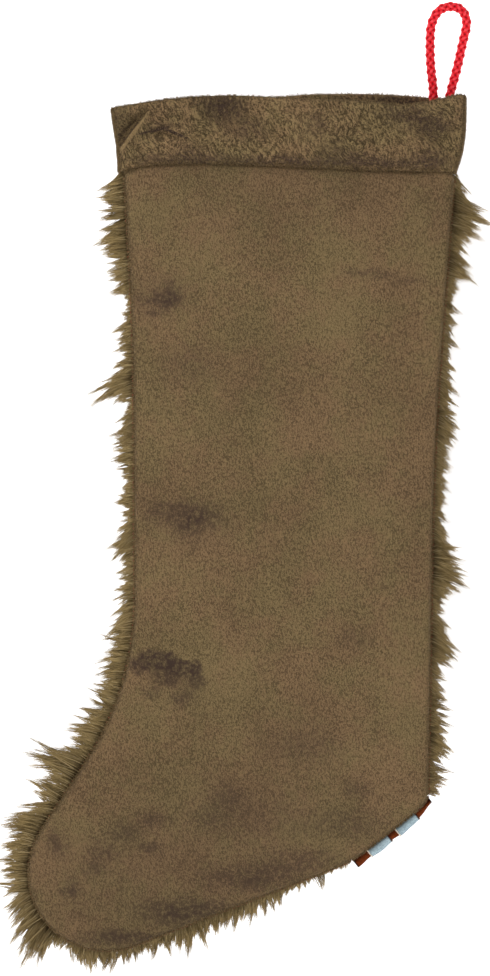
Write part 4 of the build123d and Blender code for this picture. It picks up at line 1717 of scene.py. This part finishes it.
class STOCKING_OT_fur(bpy.types.Operator):
    """The long pile: locks of fibres all over the front, splayed out at the seam"""

    bl_idname = "stocking.fur"
    bl_label = "Fur"

    def execute(self, context):
        settings = context.scene.stocking_fur
        random = np.random.default_rng(settings.seed)
        material = made_once(fur_material, "fur_fibre", settings)
        locks = np.vstack([self.front_locks(random, settings), self.rim_locks(random, settings)])
        locks = locks[~self.on_patch(locks, 0.0012)]
        order = np.argsort(-locks[:, 2], kind="stable")
        most = FIBRES_IN_PIECE // settings.per_lock
        groups = [order[i:i + most] for i in range(0, len(order), most)]
        for number, group in enumerate(groups):
            lines, owner = lock_lines(random, locks[group], settings.per_lock)
            lines[:, :, 1] = np.clip(lines[:, :, 1], SEAM_Y - 0.0012, FUR_LIMIT_Y)
            lines[:, :, 2] = np.minimum(lines[:, :, 2], HEM_Z + 0.0015)
            width = random.uniform(0.00015, 0.00026, len(lines))
            widths = width[:, None] * np.array(FIBRE_TAPER)[None]
            piece = fibres(
                f"fur_{number + 1:02d}", lines, widths, material,
                {"lock": random.uniform(0, 1, len(group))[owner],
                 "fibre": random.uniform(0, 1, len(lines))},
            )
            put(piece, "stocking", "fur", *(["fur_pile"] if number == 0 else []))
        return {"FINISHED"}

    def on_patch(self, locks, margin):
        """Which locks stand under the heel patch."""
        settings = bpy.context.scene.stocking_patch
        middle, along, into = patch_frame()
        away = locks[:, [0, 2]] - middle
        u, v = away @ along, away @ into
        half = sum(PATCH_BLOCKS) / 2
        waist = np.sqrt(np.maximum(half**2 - np.maximum(v - (settings.length - half), 0) ** 2, 0))
        return (np.abs(u) < waist + margin) & (v < settings.length + margin)

    def front_locks(self, random, settings):
        """Locks all over the front: place, direction, combing, length, half width, flatness."""
        ground = find("front_panel_ground")
        surface = BVHTree.FromObject(ground, bpy.context.evaluated_depsgraph_get())
        line = leg_line(0.004)
        low, high = line.min(0), line.max(0)
        rows = np.arange(low[1], high[1], settings.spacing * math.sqrt(0.75))
        places, directions = [], []
        for n, z in enumerate(rows):
            for x in np.arange(low[0] + (n % 2) * settings.spacing / 2, high[0], settings.spacing):
                shift = random.uniform(-0.35, 0.35, 2) * settings.spacing
                start = Vector((x + shift[0], 0.2, z + shift[1]))
                hit, normal, _, _ = surface.ray_cast(start, Vector((0, -1, 0)))
                if hit is not None and hit.y > SEAM_Y + 0.0005:
                    places.append(tuple(hit))
                    directions.append(tuple(normal))
        centres, normals = np.array(places), np.array(directions)
        flat = centres[:, [0, 2]]
        seam = distance_to(line, flat)
        out = self.away(line, flat)
        foot = np.clip((-0.36 - flat[:, 1]) / 0.08, 0, 1)
        comb = np.stack([-0.10 - 0.75 * foot, np.zeros(len(flat)), -1.0 + 0.35 * foot], 1)
        comb[:, 0] += 0.55 * waves(flat[:, 0], flat[:, 1], 0.07, 41)
        comb[:, 2] += 0.25 * waves(flat[:, 0], flat[:, 1], 0.06, 42)
        near = np.exp(-seam / 0.012)[:, None]
        comb = comb * (1 - 0.75 * near) + np.stack([out[:, 0], 0 * seam, out[:, 1]], 1) * near * 1.3
        lengths = settings.length * random.uniform(0.78, 1.18, len(flat))
        lengths *= 1 - 0.45 * np.exp(-seam / 0.012)
        lengths *= 0.6 + 0.4 * np.clip((HEM_Z - centres[:, 2]) / 0.012, 0, 1)
        spread = np.full(len(flat), settings.spacing * 0.66)
        return np.column_stack([centres, normals, unit(comb), lengths, spread, np.ones(len(flat))])

    def rim_locks(self, random, settings):
        """Pointed locks along the seam that splay out past it, over a row of short fill."""
        sets = []
        for row, (level, step, base, half, least, most) in enumerate(RIM_ROWS):
            rim = leg_line(step)[1:-1]
            out = outward(rim)
            count = len(rim)
            run = np.stack([-out[:, 1], out[:, 0]], 1)
            rim = rim + run * random.uniform(-0.35, 0.35, (count, 1)) * step
            down = np.where(run[:, 1:] > 0, -run, run)
            lean = 0.55 + 0.50 * waves(rim[:, 0], rim[:, 1], 0.030, 51)
            lean += random.normal(0, 0.25, count)
            lean += 0.45 * np.clip(out[:, 0], 0, 1)
            flow = unit(out + down * lean[:, None])
            reach = base * random.uniform(least, most, count)
            reach *= 1 + 0.28 * np.clip((-0.38 - rim[:, 1]) / 0.05, 0, 1) * (rim[:, 0] < -0.14)
            toe = np.clip((-0.19 - rim[:, 0]) / 0.02, 0, 1)
            if row < FILL_ROWS:
                reach *= 1 + 0.7 * toe
            for x, z, extra, along in TUFTS:
                gap = np.linalg.norm(rim - (x, z), axis=1)
                uneven = random.uniform(0.8, 1.1, count)
                reach += TUFT_GAIN * extra * np.exp(-((gap / along) ** 2)) * uneven
            sole = np.clip(-out[:, 1], 0, 1) * np.clip((rim[:, 0] + 0.110) / 0.040, 0, 1)
            reach = np.maximum(reach * (1 - 0.75 * sole), 0.0022)
            place = rim - out * (0.0003 + 0.20 * level)
            centres = np.stack([place[:, 0], np.full(count, SEAM_Y + level), place[:, 1]], 1)
            push = np.full(count, 0.20 + 40 * level)
            normals = unit(np.stack([out[:, 0], push, out[:, 1]], 1))
            combs = unit(np.stack(
                [flow[:, 0], random.normal(0.02 + 20 * level, 0.10, count), flow[:, 1]], 1))
            spread = np.minimum(half * random.uniform(0.75, 1.2, count), 0.25 * reach + 0.0012)
            spread *= 1 + 0.35 * toe
            sets.append(np.column_stack(
                [centres, normals, combs, reach, spread, np.full(count, 0.40)]))
        return np.vstack(sets)

    def away(self, line, flat):
        """Direction from each place to the nearest point of the seam."""
        directions = outward(line)
        nearest = np.array([np.argmin(((line - p) ** 2).sum(1)) for p in flat])
        return directions[nearest]


# ---------------------------------------------------------------- stitching and short pile


SIDE_STITCH_PITCH, SIDE_STITCH_RADIUS = 0.0026, 0.00027
HEM_STITCH_PITCH, HEM_STITCH_LENGTH, HEM_STITCH_RADIUS = 0.0034, 0.0025, 0.00024


class STOCKING_OT_seams(bpy.types.Operator):
    """Overcast stitches along the side seam and running stitches at the hem"""

    bl_idname = "stocking.seams"
    bl_label = "Seams"

    def execute(self, context):
        rust = made_once(thread_material, "seam_thread", (0.200, 0.040, 0.012))
        line = leg_line(SIDE_STITCH_PITCH)[2:-2]
        out = outward(line)
        run = np.stack([-out[:, 1], out[:, 0]], 1)
        parts = []
        for place, away, along in zip(line, out, run):
            turn = np.linspace(-0.5, 0.5, 5)
            flat = place + np.outer(0.0004 + 0.0004 * np.cos(turn * math.pi), away)
            flat = flat + np.outer(turn * 0.0017, along)
            points = np.stack([flat[:, 0], SEAM_Y + turn * 0.0018, flat[:, 1]], 1)
            parts.append(tube(points, SIDE_STITCH_RADIUS, 5, (away[0], 0, away[1])))
        put(new_piece("side_seam_stitches", *joined(parts), rust), "stocking", "brown_thread",
            "side_seam_thread")
        brown = made_once(thread_material, "hem_thread", (0.045, 0.027, 0.016))
        parts = []
        for side in (BACK, FRONT):
            for x in np.arange(-0.180, -0.002, HEM_STITCH_PITCH):
                xs = np.linspace(x, x + HEM_STITCH_LENGTH, 5)
                gap = np.minimum(xs + 0.1876, 0.0038 - xs)
                depth = cuff_depth(gap) - CUFF_TUCK - 0.0004
                bow = 0.0004 * np.sin(np.linspace(0, math.pi, 5))
                points = np.stack([xs, SEAM_Y + side * (depth + bow), hem_at(xs) + 0.0002], 1)
                parts.append(tube(points, HEM_STITCH_RADIUS, 5, (0, 0, 1)))
        put(new_piece("hem_stitches", *joined(parts), brown), "stocking", "brown_thread",
            "cuff_seam_thread")
        return {"FINISHED"}


PILE_SEED = 100


class STOCKING_OT_short_pile(bpy.types.Operator):
    """Short pile fibres that stand on the plush of the cuff and the back"""

    bl_idname = "stocking.short_pile"
    bl_label = "Short pile"

    def execute(self, context):
        settings = context.scene.stocking_plush
        for number, (name, host, side, count, lie) in enumerate((
            ("cuff_back_pile", "cuff_back_band", BACK, 12000, (0.5, 0, -0.6)),
            ("cuff_front_pile", "cuff_front_band", FRONT, 9000, (-0.4, 0, -0.6)),
            ("back_panel_pile", "back_panel_plush", BACK, 12000, (-0.3, 0, -0.8)),
        )):
            base = find(host)
            random = np.random.default_rng(PILE_SEED + number)
            piece = self.pile(name, base, side, count, lie, random, settings)
            put(piece, "stocking", "plush")
        return {"FINISHED"}

    def pile(self, name, base, side, count, lie, random, settings):
        """Fibres at random places of a piece, most of them where the surface turns away."""
        evaluated = base.evaluated_get(bpy.context.evaluated_depsgraph_get())
        mesh = evaluated.to_mesh()
        mesh.calc_loop_triangles()
        corners = np.zeros(len(mesh.loop_triangles) * 3, np.int32)
        mesh.loop_triangles.foreach_get("vertices", corners)
        corners = corners.reshape(-1, 3)
        points = np.zeros(len(mesh.vertices) * 3, np.float32)
        mesh.vertices.foreach_get("co", points)
        points = points.reshape(-1, 3)
        evaluated.to_mesh_clear()
        a, b, c = (points[corners[:, k]] for k in range(3))
        normal = np.cross(b - a, c - a)
        area = np.linalg.norm(normal, axis=1)
        normal = unit(normal)
        facing = normal[:, 1] * side
        weight = area * np.where(facing > -0.05, 0.12 + (1 - np.abs(facing)) ** 1.2, 0)
        if base.name == "back_panel_plush":
            weight = area * np.where((facing > 0) & (facing < 0.8), 1.0, 0.0)
        chosen = random.choice(len(area), count, p=weight / weight.sum())
        share = np.sqrt(random.uniform(0, 1, count))[:, None]
        other = random.uniform(0, 1, count)[:, None]
        root = a[chosen] * (1 - share) + (b[chosen] * (1 - other) + c[chosen] * other) * share
        length = settings.pile * random.uniform(0.6, 1.1, count)[:, None]
        lean = unit(normal[chosen] + np.array(lie) * 0.8 + random.normal(0, 0.35, (count, 3)))
        lines = bezier(root - normal[chosen] * 0.0003, root + normal[chosen] * length * 0.45,
                       root + lean * length, np.linspace(0, 1, 3))
        widths = random.uniform(0.00011, 0.00018, count)[:, None] * np.array((1, 0.8, 0.2))[None]
        material = made_once(self.material, "pile_fibre", settings)
        return fibres(name, lines, widths, material, {"fibre": random.uniform(0, 1, count)})

    def material(self, name, settings):
        """One fibre of the short pile, each its own shade."""
        material, nodes, shader = new_material(name, roughness=0.85, specular=0.08)
        shade = nodes.ramp(nodes.value("fibre"), 0, 1)
        tint = nodes.mix(shade, solid(settings.colour, 0.80), solid(settings.colour, 1.90))
        tint = nodes.mix(nodes.ramp(nodes.value("along"), 0.4, 0.0, 0, 0.2), tint,
                         solid(settings.brushed))
        colour_and_bump(nodes, shader, tint, nodes.noise(nodes.place(), 3000.0), 0.1, 0.0001)
        return material


# ---------------------------------------------------------------- panel and registration

OPERATORS = (
    STOCKING_OT_stage,
    STOCKING_OT_loop,
    STOCKING_OT_leg,
    STOCKING_OT_linings,
    STOCKING_OT_cuff,
    STOCKING_OT_heel_patch,
    STOCKING_OT_fur,
    STOCKING_OT_seams,
    STOCKING_OT_short_pile,
)


class STOCKING_PT_panel(bpy.types.Panel):
    """Lists the steps that build the stocking"""

    bl_label = "Hanging Stocking"
    bl_idname = "STOCKING_PT_panel"
    bl_space_type = "VIEW_3D"
    bl_region_type = "UI"
    bl_category = "Stocking"

    def draw(self, context):
        for operator in OPERATORS:
            self.layout.operator(operator.bl_idname)


SETTINGS = {
    "stocking_cord": CordSettings,
    "stocking_plush": PlushSettings,
    "stocking_fur": FurSettings,
    "stocking_patch": PatchSettings,
    "stocking_stage": StageSettings,
}


def register():
    for settings in SETTINGS.values():
        bpy.utils.register_class(settings)
    for operator in OPERATORS:
        bpy.utils.register_class(operator)
    bpy.utils.register_class(STOCKING_PT_panel)
    for name, settings in SETTINGS.items():
        setattr(bpy.types.Scene, name, PointerProperty(type=settings))


def unregister():
    for name in SETTINGS:
        delattr(bpy.types.Scene, name)
    bpy.utils.unregister_class(STOCKING_PT_panel)
    for operator in reversed(OPERATORS):
        bpy.utils.unregister_class(operator)
    for settings in SETTINGS.values():
        bpy.utils.unregister_class(settings)


def main():
    """Builds everything in order."""
    register()
    for operator in OPERATORS:
        area, name = operator.bl_idname.split(".")
        getattr(getattr(bpy.ops, area), name)()


if __name__ == "__main__":
    main()
